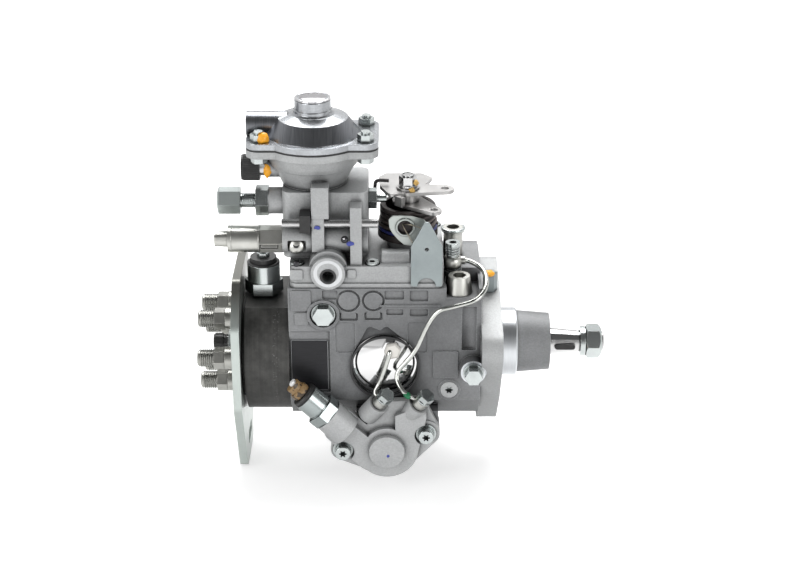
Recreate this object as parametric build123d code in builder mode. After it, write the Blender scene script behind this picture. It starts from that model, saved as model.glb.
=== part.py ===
from build123d import *
import math
import os

# Rotary distributor injection pump for a six-cylinder diesel engine.
# X runs along the drive shaft towards its nut, Z is up, and the near side faces -Y.
# The origin is the centre of the mounting pilot, in the plane of the flange face.

os.makedirs("parts", exist_ok=True)

# Clearances
shaft_gap = 0.05
free_gap = 0.3
seat_gap = 0.1

# Mounting flange, pilot and nose
flange_thickness = 15.0
flange_pcd = 110.0
flange_ear_radius = 13.0
flange_hole_radius = 5.25
flange_core_radius = 44.0
flange_ear_angles = (160.0, 40.0, 280.0)
pilot_radius = 25.0
pilot_length = 13.0
nose_length = 37.0
nose_root_radius = 22.8
nose_end_radius = 20.9

# Drive shaft
shaft_radius = 10.0
taper_length = 23.0
taper_small_radius = 7.7
thread_radius = 7.0
thread_length = 17.6
shaft_start = -72.0
key_width = 4.0
key_length = 15.0
key_height = 4.5
washer_thickness = 4.4
washer_radius = 11.0
nut_across_flats = 22.0
nut_height = 11.3
bush_wall = 3.0
bush_start = -26.0
bush_length = 54.0
seal_length = 7.0
seal_radius = 16.0

# Housing casting
body_back = -151.5
body_half_width = 44.0
body_top = 62.0
body_bottom = -46.0
body_corner = 20.0
deck_front = -42.0
main_bore_radius = 36.0
chamber_back = -145.0
chamber_front = -50.0
chamber_half_width = 30.0
window_x = -83.4
window_z = 1.0
window_radius = 25.0
window_depth = 4.5
window_lobes = ((-93.6, 29.0), (-82.2, 29.0))
window_lobe_radius = 3.2
label_recess_depth = 1.6

# Cast relief of the near side: recesses by their left, bottom, right and top edges, round pads by
# their centre and radius, raised panels like the recesses
relief_depth = 1.3
relief_rise = 0.8
relief_recesses = (
    (-127.6, 53.6, -116.4, 60.5),
    (-83.6, 53.6, -69.6, 60.5),
    (-65.9, 52.2, -52.6, 60.5),
    (-82.5, 41.5, -70.1, 46.2),
    (-65.8, 40.5, -52.6, 46.2),
)
relief_pads = ((-109.0, 52.6, 6.9), (-91.4, 52.6, 6.4))
relief_moat = 1.7
relief_panels = ((-149.6, 45.2, -135.4, 60.5), (-147.0, 34.0, -137.4, 43.4), (-49.0, -8.0, -31.0, 13.3))
rib_left = -86.7
rib_right = -44.4
rib_z = 48.9
rib_height = 1.2

# Timing piston, which lies across the housing under the roller ring
timing_x = -83.5
timing_z = -56.0
timing_bore_radius = 14.0
timing_boss_radius = 21.0
timing_boss_half = body_half_width + 6.0
timing_piston_length = 44.0
timing_cover_thickness = 11.0
timing_ears = ((-113.7, -59.3, 9.0), (-53.9, -46.1, 10.0))
timing_ear_depth = 12.0
timing_pad_x = -72.0
timing_pad_z = -40.0
timing_pad_width = 54.0
timing_pad_height = 16.0
timing_arm_x = -114.5
timing_arm_z = -40.5
timing_arm_radius = 13.0
timing_arm_y = -timing_boss_half - 7.0
banjo_y = -timing_boss_half - 10.0
banjo_places = ((-86.1, banjo_y, -18.5), (-57.7, banjo_y, -19.3))
banjo_axis = (0.5, -0.4, 0.77)
banjo_half = 3.6
banjo_radius = 5.4
banjo_screw_radius = 3.0

# Vane supply pump
pump_back = -46.0
pump_front = -30.0
pump_chamber_radius = 35.0
pump_rotor_radius = 18.5
pump_offset = 2.0
vane_count = 4
vane_thickness = 3.0
vane_depth = 6.5
support_thickness = 4.0

# Governor drive, module 2 gears
gear_module = 2.0
drive_teeth = 29
governor_teeth = 18
gear_width = 10.0
gear_front = -52.0
tooth_backlash = 0.25
governor_z = gear_module * (drive_teeth + governor_teeth) / 2
governor_shaft_radius = 6.0
governor_shaft_back = -108.0
flyweight_count = 4
sleeve_back = -116.0
sleeve_front = -72.0
sleeve_radius = 9.0

# Roller ring, cam plate and plunger
lobe_count = 6
ring_front = -79.5
ring_thickness = 14.0
ring_radius = 34.0
ring_bore = 15.5
roller_radius = 5.5
roller_length = 9.0
roller_middle_radius = 25.0
cam_radius = 31.0
cam_thickness = 7.5
cam_lift = 3.2
plunger_radius = 6.0
collar_radius = 11.0
collar_width = 10.0
collar_back = -126.0

# Governor levers
lever_pivot_x = -118.0
lever_pivot_z = 24.0
lever_pin_radius = 2.5

# Distributor head, outlets and rear plate
head_radius = 49.0
head_flat_z = 40.0
head_front = body_back
head_back = -183.5
head_step_radius = 40.0
head_step = 2.5
spigot_length = 8.0
barrel_radius = 11.0
barrel_length = 11.5
plate_thickness = 6.0
outlet_count = 6
outlet_pcd = 57.2
outlet_end = -219.0
outlet_thread_radius = 6.0
outlet_hex = 14.0
outlet_bore = 4.2
valve_travel = 1.6

# Governor cover with the bowl of the boost compensator
cover_joint = body_top
cover_deck = 78.0
cover_back = -150.0
cover_half_width = 42.0
cover_ceiling = 76.5
boost_x = -133.4
pedestal_top = 127.0
boost_joint = pedestal_top + 30.5
boost_flange_radius = 37.0
boost_ear_x = 37.0
boost_ear_y = 18.0
boost_ear_radius = 9.0
boost_flange = 5.0
boost_bowl_radius = 30.0
boost_pin_radius = 4.0
diaphragm_thickness = 1.4
pedestal_left = -155.0
pedestal_right = -95.0

# Control lever on its upright shaft
lever_x = -67.0
lever_shaft_radius = 6.0
lever_top = 131.0
tower_radius = 15.0
tower_top = 86.0
crank_reach = 22.0
crank_pin_bottom = 60.5

# Near-side features, as x and z of their centres
pivot_bolt_x = -126.8
pivot_bolt_z = 42.0
pivot_bolt_radius = 4.0
pivot_boss_radius = 11.5
pivot_boss_rise = 1.5
pivot_sink = 3.0
lock_screw_x = -20.5
lock_screw_z = 1.0
lock_boss_radius = 9.0
lock_boss_length = 10.0
plug_x = -37.3
plug_z = -17.7
plug_radius = 6.6
label_left = -152.0
label_right = -122.4
label_bottom = -20.0
label_top = 28.9

# Fuel inlet, overflow and pressure valve on the deck behind the flange
deck_top = 66.0
deck_step_y = -16.0
pocket_floor = 55.0
inlet_x = -34.2
inlet_y = 10.0
inlet_bore = 4.5
inlet_radius = 7.0
inlet_top = 87.0
regulator_x = -30.8
regulator_y = -33.0
regulator_radius = 9.6
regulator_top = 67.6
regulator_thread_radius = 5.0
overflow_x = -35.1
overflow_y = -18.0
overflow_radius = 6.5
overflow_screw_radius = 3.5
overflow_top = 86.6

# Drive shaft with taper, thread and keyway
taper_end = nose_length + taper_length
shaft_tip = taper_end + thread_length
gear_back = gear_front - gear_width
claw_root = shaft_start
claw_length = 10.0
claw_radius = 10.5
with BuildPart() as drive_shaft:
    with BuildSketch(Plane.XZ):
        with BuildLine():
            Polyline(
                (claw_root, 0),
                (claw_root, 13.5),
                (claw_root + 4, 13.5),
                (claw_root + 4, shaft_radius),
                (nose_length, shaft_radius),
                (taper_end, taper_small_radius),
                (taper_end, thread_radius),
                (shaft_tip - 1, thread_radius),
                (shaft_tip, thread_radius - 1),
                (shaft_tip, 0),
                close=True,
            )
        make_face()
    revolve(axis=Axis.X)
    with BuildSketch(Plane.YZ.offset(claw_root)):
        with Locations((-claw_radius, 0), (claw_radius, 0)):
            Rectangle(5, 8)
    extrude(amount=-claw_length)
    with BuildSketch(Plane.XZ.offset(taper_small_radius - 1)):
        with Locations((nose_length + taper_length / 2, 0)):
            SlotOverall(key_length, key_width)
    extrude(amount=key_height, mode=Mode.SUBTRACT)
drive_shaft.part.label = "drive_shaft"
export_step(drive_shaft.part, "parts/drive_shaft.step")

# Woodruff key in the taper
with BuildPart() as shaft_key:
    with BuildSketch(Plane.XZ.offset(taper_small_radius - 1 + seat_gap)):
        with Locations((nose_length + taper_length / 2, 0)):
            SlotOverall(key_length - seat_gap, key_width - seat_gap)
    extrude(amount=key_height - seat_gap)
shaft_key.part.label = "shaft_key"
export_step(shaft_key.part, "parts/shaft_key.step")

# Spring washer and flange nut that clamp the drive gear of the engine
washer_start = taper_end + seat_gap
with BuildPart() as shaft_washer:
    with BuildSketch(Plane.YZ.offset(washer_start)):
        Circle(washer_radius)
        Circle(thread_radius + shaft_gap, mode=Mode.SUBTRACT)
    extrude(amount=washer_thickness)
    chamfer(shaft_washer.edges().group_by(Axis.X)[-1].sort_by(SortBy.RADIUS)[-1], 0.8)
shaft_washer.part.label = "shaft_washer"
export_step(shaft_washer.part, "parts/shaft_washer.step")

nut_start = washer_start + washer_thickness
with BuildPart() as shaft_nut:
    with BuildSketch(Plane.YZ.offset(nut_start)):
        RegularPolygon(nut_across_flats / 2, 6, major_radius=False)
    extrude(amount=nut_height)
    with BuildSketch(Plane.XZ):
        with BuildLine():
            Polyline(
                (nut_start, 0),
                (nut_start, nut_across_flats / 2 + 0.2),
                (nut_start + 1.2, nut_across_flats * 0.58),
                (nut_start + nut_height - 2.4, nut_across_flats * 0.58),
                (nut_start + nut_height, nut_across_flats / 2 - 1.2),
                (nut_start + nut_height, 0),
                close=True,
            )
        make_face()
    revolve(axis=Axis.X, mode=Mode.INTERSECT)
    with BuildSketch(Plane.YZ.offset(nut_start)):
        Circle(thread_radius + shaft_gap)
    extrude(amount=nut_height, mode=Mode.SUBTRACT)
shaft_nut.part.label = "shaft_nut"
export_step(shaft_nut.part, "parts/shaft_nut.step")

# Plain bush in the nose, with the lip seal in front of it
seal_start = nose_length - seal_length - 1.5
with BuildPart() as shaft_bush:
    with BuildSketch(Plane.YZ.offset(bush_start)):
        Circle(shaft_radius + shaft_gap + bush_wall)
        Circle(shaft_radius + shaft_gap, mode=Mode.SUBTRACT)
    extrude(amount=bush_length)
    with BuildSketch(Plane.YZ.offset(seal_start)):
        Circle(seal_radius)
        Circle(shaft_radius + seat_gap, mode=Mode.SUBTRACT)
    extrude(amount=seal_length)
shaft_bush.part.label = "shaft_bush"
export_step(shaft_bush.part, "parts/shaft_bush.step")

# Housing casting
bush_bore = shaft_radius + shaft_gap + bush_wall
with BuildPart() as pump_housing:
    with BuildSketch(Plane.YZ.offset(body_back)):
        with BuildLine():
            Polyline(
                (-body_half_width, body_top),
                (-body_half_width, body_bottom + body_corner),
                (-body_half_width + body_corner, body_bottom),
                (body_half_width - body_corner, body_bottom),
                (body_half_width, body_bottom + body_corner),
                (body_half_width, body_top),
                close=True,
            )
        make_face()
    extrude(amount=-body_back - flange_thickness)
    # block behind the deck that carries the fuel inlet
    with BuildSketch(Plane.XY.offset(body_top)):
        with BuildLine():
            Polyline(
                (deck_front, deck_step_y),
                (-flange_thickness, deck_step_y),
                (-flange_thickness, 28),
                (deck_front, 28),
                close=True,
            )
        make_face()
    extrude(amount=deck_top - body_top)
    # mounting flange with three ears
    with BuildSketch(Plane.YZ.offset(-flange_thickness)):
        Circle(flange_core_radius)
        with PolarLocations(flange_pcd / 2, 3, start_angle=flange_ear_angles[1]):
            Circle(flange_ear_radius)
        make_hull()
    extrude(amount=flange_thickness)
    # pilot and tapered nose
    with BuildSketch(Plane.XZ):
        with BuildLine():
            Polyline(
                (0, 0),
                (0, pilot_radius),
                (pilot_length - 1, pilot_radius),
                (pilot_length, pilot_radius - 1),
                (pilot_length, nose_root_radius),
                (nose_length, nose_end_radius),
                (nose_length, 0),
                close=True,
            )
        make_face()
    revolve(axis=Axis.X)
    # timing cylinder across the underside, with its web
    with BuildSketch(Plane.XZ.offset(-timing_boss_half)):
        with Locations((timing_x, timing_z)):
            Circle(timing_boss_radius)
    extrude(amount=2 * timing_boss_half)
    with BuildSketch(Plane.XZ.offset(-body_half_width + 6)):
        with Locations((timing_x, (timing_z + body_bottom + 10) / 2)):
            Rectangle(2 * timing_boss_radius, body_bottom + 10 - timing_z)
    extrude(amount=2 * (body_half_width - 6))
    with BuildSketch(Plane.XZ.offset(-timing_boss_half)):
        for x, z, radius in timing_ears:
            with Locations((x, z)):
                Circle(radius)
        with Locations((timing_x, timing_z)):
            Circle(timing_boss_radius)
        make_hull()
    extrude(amount=timing_ear_depth)
    with BuildSketch(Plane.XZ.offset(timing_boss_half - timing_ear_depth)):
        for x, z, radius in timing_ears:
            with Locations((x, z)):
                Circle(radius)
        with Locations((timing_x, timing_z)):
            Circle(timing_boss_radius)
        make_hull()
    extrude(amount=timing_ear_depth)
    with BuildSketch(Plane.XZ.offset(body_half_width - 8)):
        with Locations((timing_pad_x, timing_pad_z)):
            Rectangle(timing_pad_width, timing_pad_height)
    extrude(amount=timing_boss_half - body_half_width + 8)
    # bosses for the lock screw and the lever pivot on the near side
    with BuildSketch(Plane.XZ.offset(body_half_width)):
        with Locations((lock_screw_x, lock_screw_z)):
            Circle(lock_boss_radius)
    extrude(amount=lock_boss_length)
    with BuildSketch(Plane.XZ.offset(body_half_width)):
        with Locations((pivot_bolt_x, pivot_bolt_z)):
            Circle(pivot_boss_radius)
    extrude(amount=pivot_boss_rise)
    with BuildSketch(Plane.XZ.offset(body_half_width - 12)):
        with Locations((plug_x, plug_z)):
            Circle(plug_radius + 1.6)
    extrude(amount=12.4)
    # raised panels and the rib beside them
    with BuildSketch(Plane.XZ.offset(body_half_width)):
        for left, bottom, right, top in relief_panels:
            with Locations(((left + right) / 2, (bottom + top) / 2)):
                RectangleRounded(right - left, top - bottom, 1.5)
        with Locations(((rib_left + rib_right) / 2, rib_z)):
            Rectangle(rib_right - rib_left, rib_height)
    extrude(amount=relief_rise)
    # bores from the rear: governor and cam chamber, supply pump, shaft
    with BuildSketch(Plane.YZ.offset(body_back)):
        Circle(main_bore_radius)
    extrude(amount=chamber_front - body_back, mode=Mode.SUBTRACT)
    with BuildSketch(Plane.YZ.offset(chamber_front)):
        Circle(pump_chamber_radius)
    extrude(amount=pump_front - chamber_front, mode=Mode.SUBTRACT)
    with BuildSketch(Plane.YZ.offset(pump_front)):
        Circle(bush_bore)
    extrude(amount=nose_length - pump_front, mode=Mode.SUBTRACT)
    with BuildSketch(Plane.YZ.offset(seal_start)):
        Circle(seal_radius)
    extrude(amount=nose_length - seal_start, mode=Mode.SUBTRACT)
    # governor chamber, open at the top
    with BuildSketch(Plane.XY):
        with Locations(((chamber_back + chamber_front) / 2, 0)):
            Rectangle(chamber_front - chamber_back, 2 * chamber_half_width)
    extrude(amount=body_top, mode=Mode.SUBTRACT)
    with BuildSketch(Plane.YZ.offset(chamber_front)):
        with Locations((0, governor_z)):
            Circle(governor_shaft_radius)
    extrude(amount=24, mode=Mode.SUBTRACT)
    # timing bore and the slot for the ring's pin
    with BuildSketch(Plane.XZ.offset(-timing_boss_half)):
        with Locations((timing_x, timing_z)):
            Circle(timing_bore_radius)
    extrude(amount=2 * timing_boss_half, mode=Mode.SUBTRACT)
    with BuildSketch(Plane.XY.offset(timing_z)):
        with Locations((timing_x, 0)):
            Rectangle(14, 36)
    extrude(amount=-timing_z - 30, mode=Mode.SUBTRACT)
    # flange holes
    with BuildSketch(Plane.YZ.offset(-flange_thickness)):
        with PolarLocations(flange_pcd / 2, 3, start_angle=flange_ear_angles[1]):
            Circle(flange_hole_radius)
    extrude(amount=flange_thickness, mode=Mode.SUBTRACT)
    # pocket in the near corner of the deck, with the pressure valve's bore
    with BuildSketch(Plane.XY.offset(pocket_floor)):
        with BuildLine():
            Polyline(
                (deck_front + 2, -body_half_width - 1),
                (-flange_thickness - 2, -body_half_width - 1),
                (-flange_thickness - 2, deck_step_y),
                (deck_front + 2, deck_step_y),
                close=True,
            )
        make_face()
    extrude(amount=body_top - pocket_floor, mode=Mode.SUBTRACT)
    with BuildSketch(Plane.XY.offset(pocket_floor)):
        with Locations((overflow_x, overflow_y)):
            Circle(overflow_radius)
        with Locations((overflow_x, overflow_y + overflow_radius)):
            Rectangle(2 * overflow_radius, 2 * overflow_radius)
    extrude(amount=deck_top - pocket_floor)
    with BuildSketch(Plane.XY.offset(pocket_floor)):
        with Locations((regulator_x, regulator_y)):
            Circle(regulator_radius + free_gap)
    extrude(amount=deck_top - pocket_floor, mode=Mode.SUBTRACT)
    with BuildSketch(Plane.XY.offset(pocket_floor)):
        with Locations((regulator_x, regulator_y)):
            Circle(regulator_thread_radius)
    extrude(amount=-16, mode=Mode.SUBTRACT)
    with BuildSketch(Plane.XY.offset(deck_top)):
        with Locations((overflow_x, overflow_y)):
            Circle(overflow_screw_radius)
    extrude(amount=-12, mode=Mode.SUBTRACT)
    with BuildSketch(Plane.XY.offset(deck_top)):
        with Locations((inlet_x, inlet_y)):
            Circle(inlet_radius - 1)
    extrude(amount=-14, mode=Mode.SUBTRACT)
    with BuildSketch(Plane.XY.offset(deck_top - 14)):
        with Locations((inlet_x, inlet_y)):
            Circle(inlet_bore)
    extrude(amount=-20, mode=Mode.SUBTRACT)
    # recesses and pads of the cast relief, each pad in its moat above a notched foot
    with BuildSketch(Plane.XZ.offset(body_half_width)):
        for left, bottom, right, top in relief_recesses:
            with Locations(((left + right) / 2, (bottom + top) / 2)):
                RectangleRounded(right - left, top - bottom, 1.2)
        for x, z, radius in relief_pads:
            with Locations((x, z)):
                Circle(radius + relief_moat)
                Circle(radius, mode=Mode.SUBTRACT)
            with Locations((x, z - radius - 5.5)):
                RectangleRounded(1.5 * radius + 2 * relief_moat, 6, 1.4)
            with Locations((x, z - radius - 4.6)):
                RectangleRounded(1.5 * radius, 4.4, 1.2, mode=Mode.SUBTRACT)
    extrude(amount=-relief_depth, mode=Mode.SUBTRACT)
    # shallow fields either side of the window, and the scallop in front of the flange
    with BuildSketch(Plane.XZ.offset(body_half_width)):
        with Locations((-111.5, 24), (-60.2, 24)):
            RectangleRounded(14, 24, 2)
    extrude(amount=-0.6, mode=Mode.SUBTRACT)
    with BuildSketch(Plane.XY.offset(14)):
        with Locations((-23.5, -body_half_width - 3)):
            Circle(6)
    extrude(amount=34, mode=Mode.SUBTRACT)
    # window recess with its two lobes, and data plate recess on the near side
    for lobe in window_lobes:
        with BuildSketch(Plane.XZ.offset(body_half_width)):
            with Locations((window_x, window_z)):
                Circle(window_radius)
            with Locations(lobe):
                Circle(window_lobe_radius)
            make_hull()
        extrude(amount=-window_depth, mode=Mode.SUBTRACT)
    with BuildSketch(Plane.XZ.offset(body_half_width)):
        with Locations(((label_left + label_right) / 2, (label_bottom + label_top) / 2)):
            Rectangle(label_right - label_left, label_top - label_bottom)
    extrude(amount=-label_recess_depth, mode=Mode.SUBTRACT)
    # lock screw's seat and hole down to the shaft, and pivot holes through both side walls
    with BuildSketch(Plane.XZ.offset(body_half_width + lock_boss_length)):
        with Locations((lock_screw_x, lock_screw_z)):
            Circle(lock_boss_radius - 0.6)
    extrude(amount=14, mode=Mode.SUBTRACT)
    with BuildSketch(Plane.XZ.offset(body_half_width + lock_boss_length)):
        with Locations((lock_screw_x, lock_screw_z)):
            Circle(4)
    extrude(amount=-30, mode=Mode.SUBTRACT)
    with BuildSketch(Plane.XZ.offset(body_half_width + 1)):
        with Locations((plug_x, plug_z)):
            Circle(plug_radius)
    extrude(amount=-7, mode=Mode.SUBTRACT)
    with BuildSketch(Plane.XZ.offset(body_half_width + pivot_boss_rise - pivot_sink)):
        with Locations((pivot_bolt_x, pivot_bolt_z)):
            Circle(pivot_boss_radius - 2)
    extrude(amount=pivot_sink, mode=Mode.SUBTRACT)
    with BuildSketch(Plane.XZ.offset(-body_half_width - 2)):
        with Locations((pivot_bolt_x, pivot_bolt_z)):
            Circle(pivot_bolt_radius)
    extrude(amount=2 * body_half_width + 4, mode=Mode.SUBTRACT)
pump_housing.part.label = "pump_housing"
export_step(pump_housing.part, "parts/pump_housing.step")

# Vane supply pump: eccentric ring, rotor, vanes and support plate
with BuildPart() as pump_ring:
    with BuildSketch(Plane.YZ.offset(pump_back)):
        Circle(pump_chamber_radius - seat_gap)
        with Locations((0, pump_offset)):
            Circle(pump_rotor_radius + pump_offset + 0.8, mode=Mode.SUBTRACT)
    extrude(amount=pump_front - pump_back - seat_gap)
    with BuildSketch(Plane.YZ.offset(chamber_front)):
        Circle(pump_chamber_radius - seat_gap)
        Circle(shaft_radius + free_gap, mode=Mode.SUBTRACT)
    extrude(amount=support_thickness - seat_gap)
pump_ring.part.label = "pump_ring"
export_step(pump_ring.part, "parts/pump_ring.step")

rotor_length = pump_front - pump_back - 2 * free_gap
with BuildPart() as pump_rotor:
    with BuildSketch(Plane.YZ.offset(pump_back + free_gap)):
        Circle(pump_rotor_radius)
        Circle(shaft_radius + shaft_gap, mode=Mode.SUBTRACT)
        with PolarLocations(pump_rotor_radius - vane_depth / 2, vane_count):
            Rectangle(vane_depth + 0.6, vane_thickness + 2 * shaft_gap, mode=Mode.SUBTRACT)
    extrude(amount=rotor_length)
    with BuildSketch(Plane.YZ.offset(pump_back + free_gap)):
        with PolarLocations(pump_rotor_radius - vane_depth / 2, vane_count):
            Rectangle(vane_depth, vane_thickness)
    extrude(amount=rotor_length)
pump_rotor.part.label = "pump_rotor"
export_step(pump_rotor.part, "parts/pump_rotor.step")


# Spur gear outline with true involute flanks in two straight runs
pressure_angle = math.radians(20)


def gear_outline(teeth, first_tooth):
    pitch = gear_module * teeth / 2
    base = pitch * math.cos(pressure_angle)
    root = pitch - 1.25 * gear_module
    tip = pitch + 0.9 * gear_module
    half_tooth = math.pi / (2 * teeth) - tooth_backlash / 2 / pitch
    pitch_roll = math.tan(pressure_angle) - pressure_angle

    def flank_angle(radius):
        if radius <= base:
            return half_tooth + pitch_roll
        roll = math.sqrt((radius / base) ** 2 - 1)
        return half_tooth + pitch_roll - (roll - math.atan(roll))

    radii = [root, max(base, root + 0.3), pitch, tip]
    points = []
    for tooth in range(teeth):
        middle = first_tooth + 2 * math.pi * tooth / teeth
        for radius in radii:
            angle = middle - flank_angle(radius)
            points.append((radius * math.cos(angle), radius * math.sin(angle)))
        for radius in reversed(radii):
            angle = middle + flank_angle(radius)
            points.append((radius * math.cos(angle), radius * math.sin(angle)))
    return points


with BuildPart() as drive_gear:
    with BuildSketch(Plane.YZ.offset(gear_back)):
        with BuildLine():
            Polyline(*gear_outline(drive_teeth, math.pi / 2), close=True)
        make_face()
        Circle(shaft_radius + shaft_gap, mode=Mode.SUBTRACT)
    extrude(amount=gear_width)
drive_gear.part.label = "drive_gear"
export_step(drive_gear.part, "parts/drive_gear.step")

# Fixed shaft of the governor
governor_bore = governor_shaft_radius + shaft_gap
with BuildPart() as governor_shaft:
    with BuildSketch(Plane.YZ.offset(governor_shaft_back)):
        with Locations((0, governor_z)):
            Circle(governor_shaft_radius)
    extrude(amount=chamber_front + 22 - governor_shaft_back)
governor_shaft.part.label = "governor_shaft"
export_step(governor_shaft.part, "parts/governor_shaft.step")

governor_gap_angle = -math.pi / 2 + math.pi / governor_teeth

# Plane through one weight: x runs along the shaft, y outwards, the normal along its hinge pin
def weight_plane(number):
    angle = math.radians(360 / flyweight_count * number)
    tangent = (0, -math.sin(angle), math.cos(angle))
    return Plane(origin=(weight_pivot_x, 0, governor_z), x_dir=(1, 0, 0), z_dir=tangent)


# Governor gear with its cage: a disc with four pairs of ears and the hinge pins of the weights
cage_disc = 3.5
cage_radius = 21.0
cage_front = gear_back
weight_width = 9.0
weight_inner = 11.2
weight_outer = 18.5
weight_length = 13.0
weight_pivot_x = cage_front - cage_disc - 3.5
weight_pivot_radius = 14.5
weight_back = cage_front - cage_disc - weight_length
weight_pin_radius = 1.25
ear_thickness = 2.2
ear_length = 6.0
ear_offset = weight_width / 2 + free_gap + ear_thickness / 2
with BuildPart() as governor_cage:
    with BuildSketch(Plane.YZ.offset(gear_back)):
        with BuildLine():
            outline = gear_outline(governor_teeth, governor_gap_angle)
            Polyline(*[(y, z + governor_z) for y, z in outline], close=True)
        make_face()
    extrude(amount=gear_width)
    with BuildSketch(Plane.YZ.offset(cage_front - cage_disc)):
        with Locations((0, governor_z)):
            Circle(cage_radius)
    extrude(amount=cage_disc)
    for number in range(flyweight_count):
        for side in (-1, 1):
            ear_face = side * ear_offset - ear_thickness / 2
            with BuildSketch(weight_plane(number).offset(ear_face)):
                with Locations((0, weight_pivot_radius)):
                    Circle(weight_outer - weight_pivot_radius)
                with Locations((ear_length / 4, weight_pivot_radius)):
                    Rectangle(ear_length / 2 + 1, 2 * (weight_outer - weight_pivot_radius))
            extrude(amount=ear_thickness)
        with BuildSketch(weight_plane(number).offset(-ear_offset)):
            with Locations((0, weight_pivot_radius)):
                Circle(weight_pin_radius)
        extrude(amount=2 * ear_offset)
    with BuildSketch(Plane.YZ.offset(cage_front - cage_disc)):
        with Locations((0, governor_z)):
            Circle(governor_bore)
    extrude(amount=cage_disc + gear_width, mode=Mode.SUBTRACT)
governor_cage.part.label = "governor_cage"
export_step(governor_cage.part, "parts/governor_cage.step")

toe_back = sleeve_front + free_gap - weight_pivot_x
toe_radius = 7.5
for number in range(flyweight_count):
    with BuildPart() as flyweight:
        with BuildSketch(weight_plane(number).offset(-weight_width / 2)):
            with BuildLine():
                Polyline(
                    (1.2, weight_outer),
                    (weight_back - weight_pivot_x, weight_outer),
                    (weight_back - weight_pivot_x, weight_inner),
                    (toe_back, weight_inner),
                    (toe_back, toe_radius),
                    (toe_back + 2.2, toe_radius),
                    (1.2, weight_inner + 1),
                    close=True,
                )
            make_face()
            with Locations((0, weight_pivot_radius)):
                Circle(weight_pin_radius + shaft_gap, mode=Mode.SUBTRACT)
        extrude(amount=weight_width)
    flyweight.part.label = f"flyweight_{number + 1}"
    export_step(flyweight.part, f"parts/flyweight_{number + 1}.step")

# Sleeve that the weights push along the governor shaft
governor_plane = Plane(origin=(0, 0, governor_z), x_dir=(1, 0, 0), z_dir=(0, -1, 0))
governor_axis = Axis((0, 0, governor_z), (1, 0, 0))
with BuildPart() as governor_sleeve:
    with BuildSketch(governor_plane):
        with BuildLine():
            Polyline(
                (sleeve_back, 0),
                (sleeve_back, 1.5),
                (sleeve_back + 2.5, sleeve_radius),
                (sleeve_front - 2.5, sleeve_radius),
                (sleeve_front - 2.5, sleeve_radius + 1.5),
                (sleeve_front, sleeve_radius + 1.5),
                (sleeve_front, governor_bore),
                (sleeve_back + 4, governor_bore),
                (sleeve_back + 4, 0),
                close=True,
            )
        make_face()
    revolve(axis=governor_axis)
governor_sleeve.part.label = "governor_sleeve"
export_step(governor_sleeve.part, "parts/governor_sleeve.step")

# Cross-disc coupling between the shaft's claws and the cam plate's claws
coupling_disc = 4.5
coupling_back = claw_root - claw_length + 0.5
with BuildPart() as cross_disc:
    with BuildSketch(Plane.YZ.offset(coupling_back)):
        Circle(14.2)
        with Locations((-claw_radius, 0), (claw_radius, 0)):
            Rectangle(5.6, 8.6, mode=Mode.SUBTRACT)
        with Locations((0, -claw_radius), (0, claw_radius)):
            Rectangle(8.6, 5.6, mode=Mode.SUBTRACT)
    extrude(amount=coupling_disc)
cross_disc.part.label = "cross_disc"
export_step(cross_disc.part, "parts/cross_disc.step")

# Roller ring with its six rollers, and the pin that the timing piston turns it by
ring_back = ring_front - ring_thickness
roller_x = ring_back + 0.5
roller_rear = roller_x - roller_radius
ring_pin_radius = 2.6
ring_ball_radius = 4.0
with BuildPart() as roller_ring:
    with BuildSketch(Plane.YZ.offset(ring_back)):
        Circle(ring_radius)
        Circle(ring_bore, mode=Mode.SUBTRACT)
    extrude(amount=ring_thickness)
    for number in range(lobe_count):
        with BuildSketch(Plane.YZ.offset(ring_back)):
            with PolarLocations(roller_middle_radius, 1, start_angle=360 / lobe_count * number):
                Rectangle(roller_length + 2 * free_gap, 2 * (roller_radius + free_gap))
        extrude(amount=roller_radius + 0.5 + free_gap, mode=Mode.SUBTRACT)
    with BuildSketch(Plane.XY.offset(-ring_radius + 2)):
        with Locations((timing_x, 0)):
            Circle(ring_pin_radius)
    extrude(amount=timing_z + ring_radius - 2)
    with Locations((timing_x, 0, timing_z)):
        Sphere(ring_ball_radius)
    for number in range(lobe_count):
        angle = math.radians(360 / lobe_count * number)
        outward = (0, math.cos(angle), math.sin(angle))
        start = roller_middle_radius - roller_length / 2
        foot = Plane(
            origin=(roller_x, start * outward[1], start * outward[2]),
            x_dir=(1, 0, 0),
            z_dir=outward,
        )
        with BuildSketch(foot):
            Circle(roller_radius)
        extrude(amount=roller_length)
roller_ring.part.label = "roller_ring"
export_step(roller_ring.part, "parts/roller_ring.step")

# Cam plate, drawn at the top of its lift, with six lobes facing the rollers
cam_front = roller_rear - free_gap
cam_back = cam_front - cam_thickness
valley_radius = 14.0
with BuildPart() as cam_plate:
    with BuildSketch(Plane.YZ.offset(cam_back)):
        Circle(cam_radius)
    extrude(amount=cam_thickness)
    for number in range(lobe_count):
        angle = math.radians(360 / lobe_count * (number + 0.5))
        outward = (0, math.cos(angle), math.sin(angle))
        foot = Plane(
            origin=(cam_front + valley_radius - cam_lift, 16 * outward[1], 16 * outward[2]),
            x_dir=(1, 0, 0),
            z_dir=outward,
        )
        with BuildSketch(foot):
            Circle(valley_radius)
        extrude(amount=cam_radius, mode=Mode.SUBTRACT)
    with BuildSketch(Plane.YZ.offset(cam_front)):
        with Locations((0, -claw_radius), (0, claw_radius)):
            Rectangle(8, 5)
    extrude(amount=coupling_back + coupling_disc - cam_front)
cam_plate.part.label = "cam_plate"
export_step(cam_plate.part, "parts/cam_plate.step")

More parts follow.
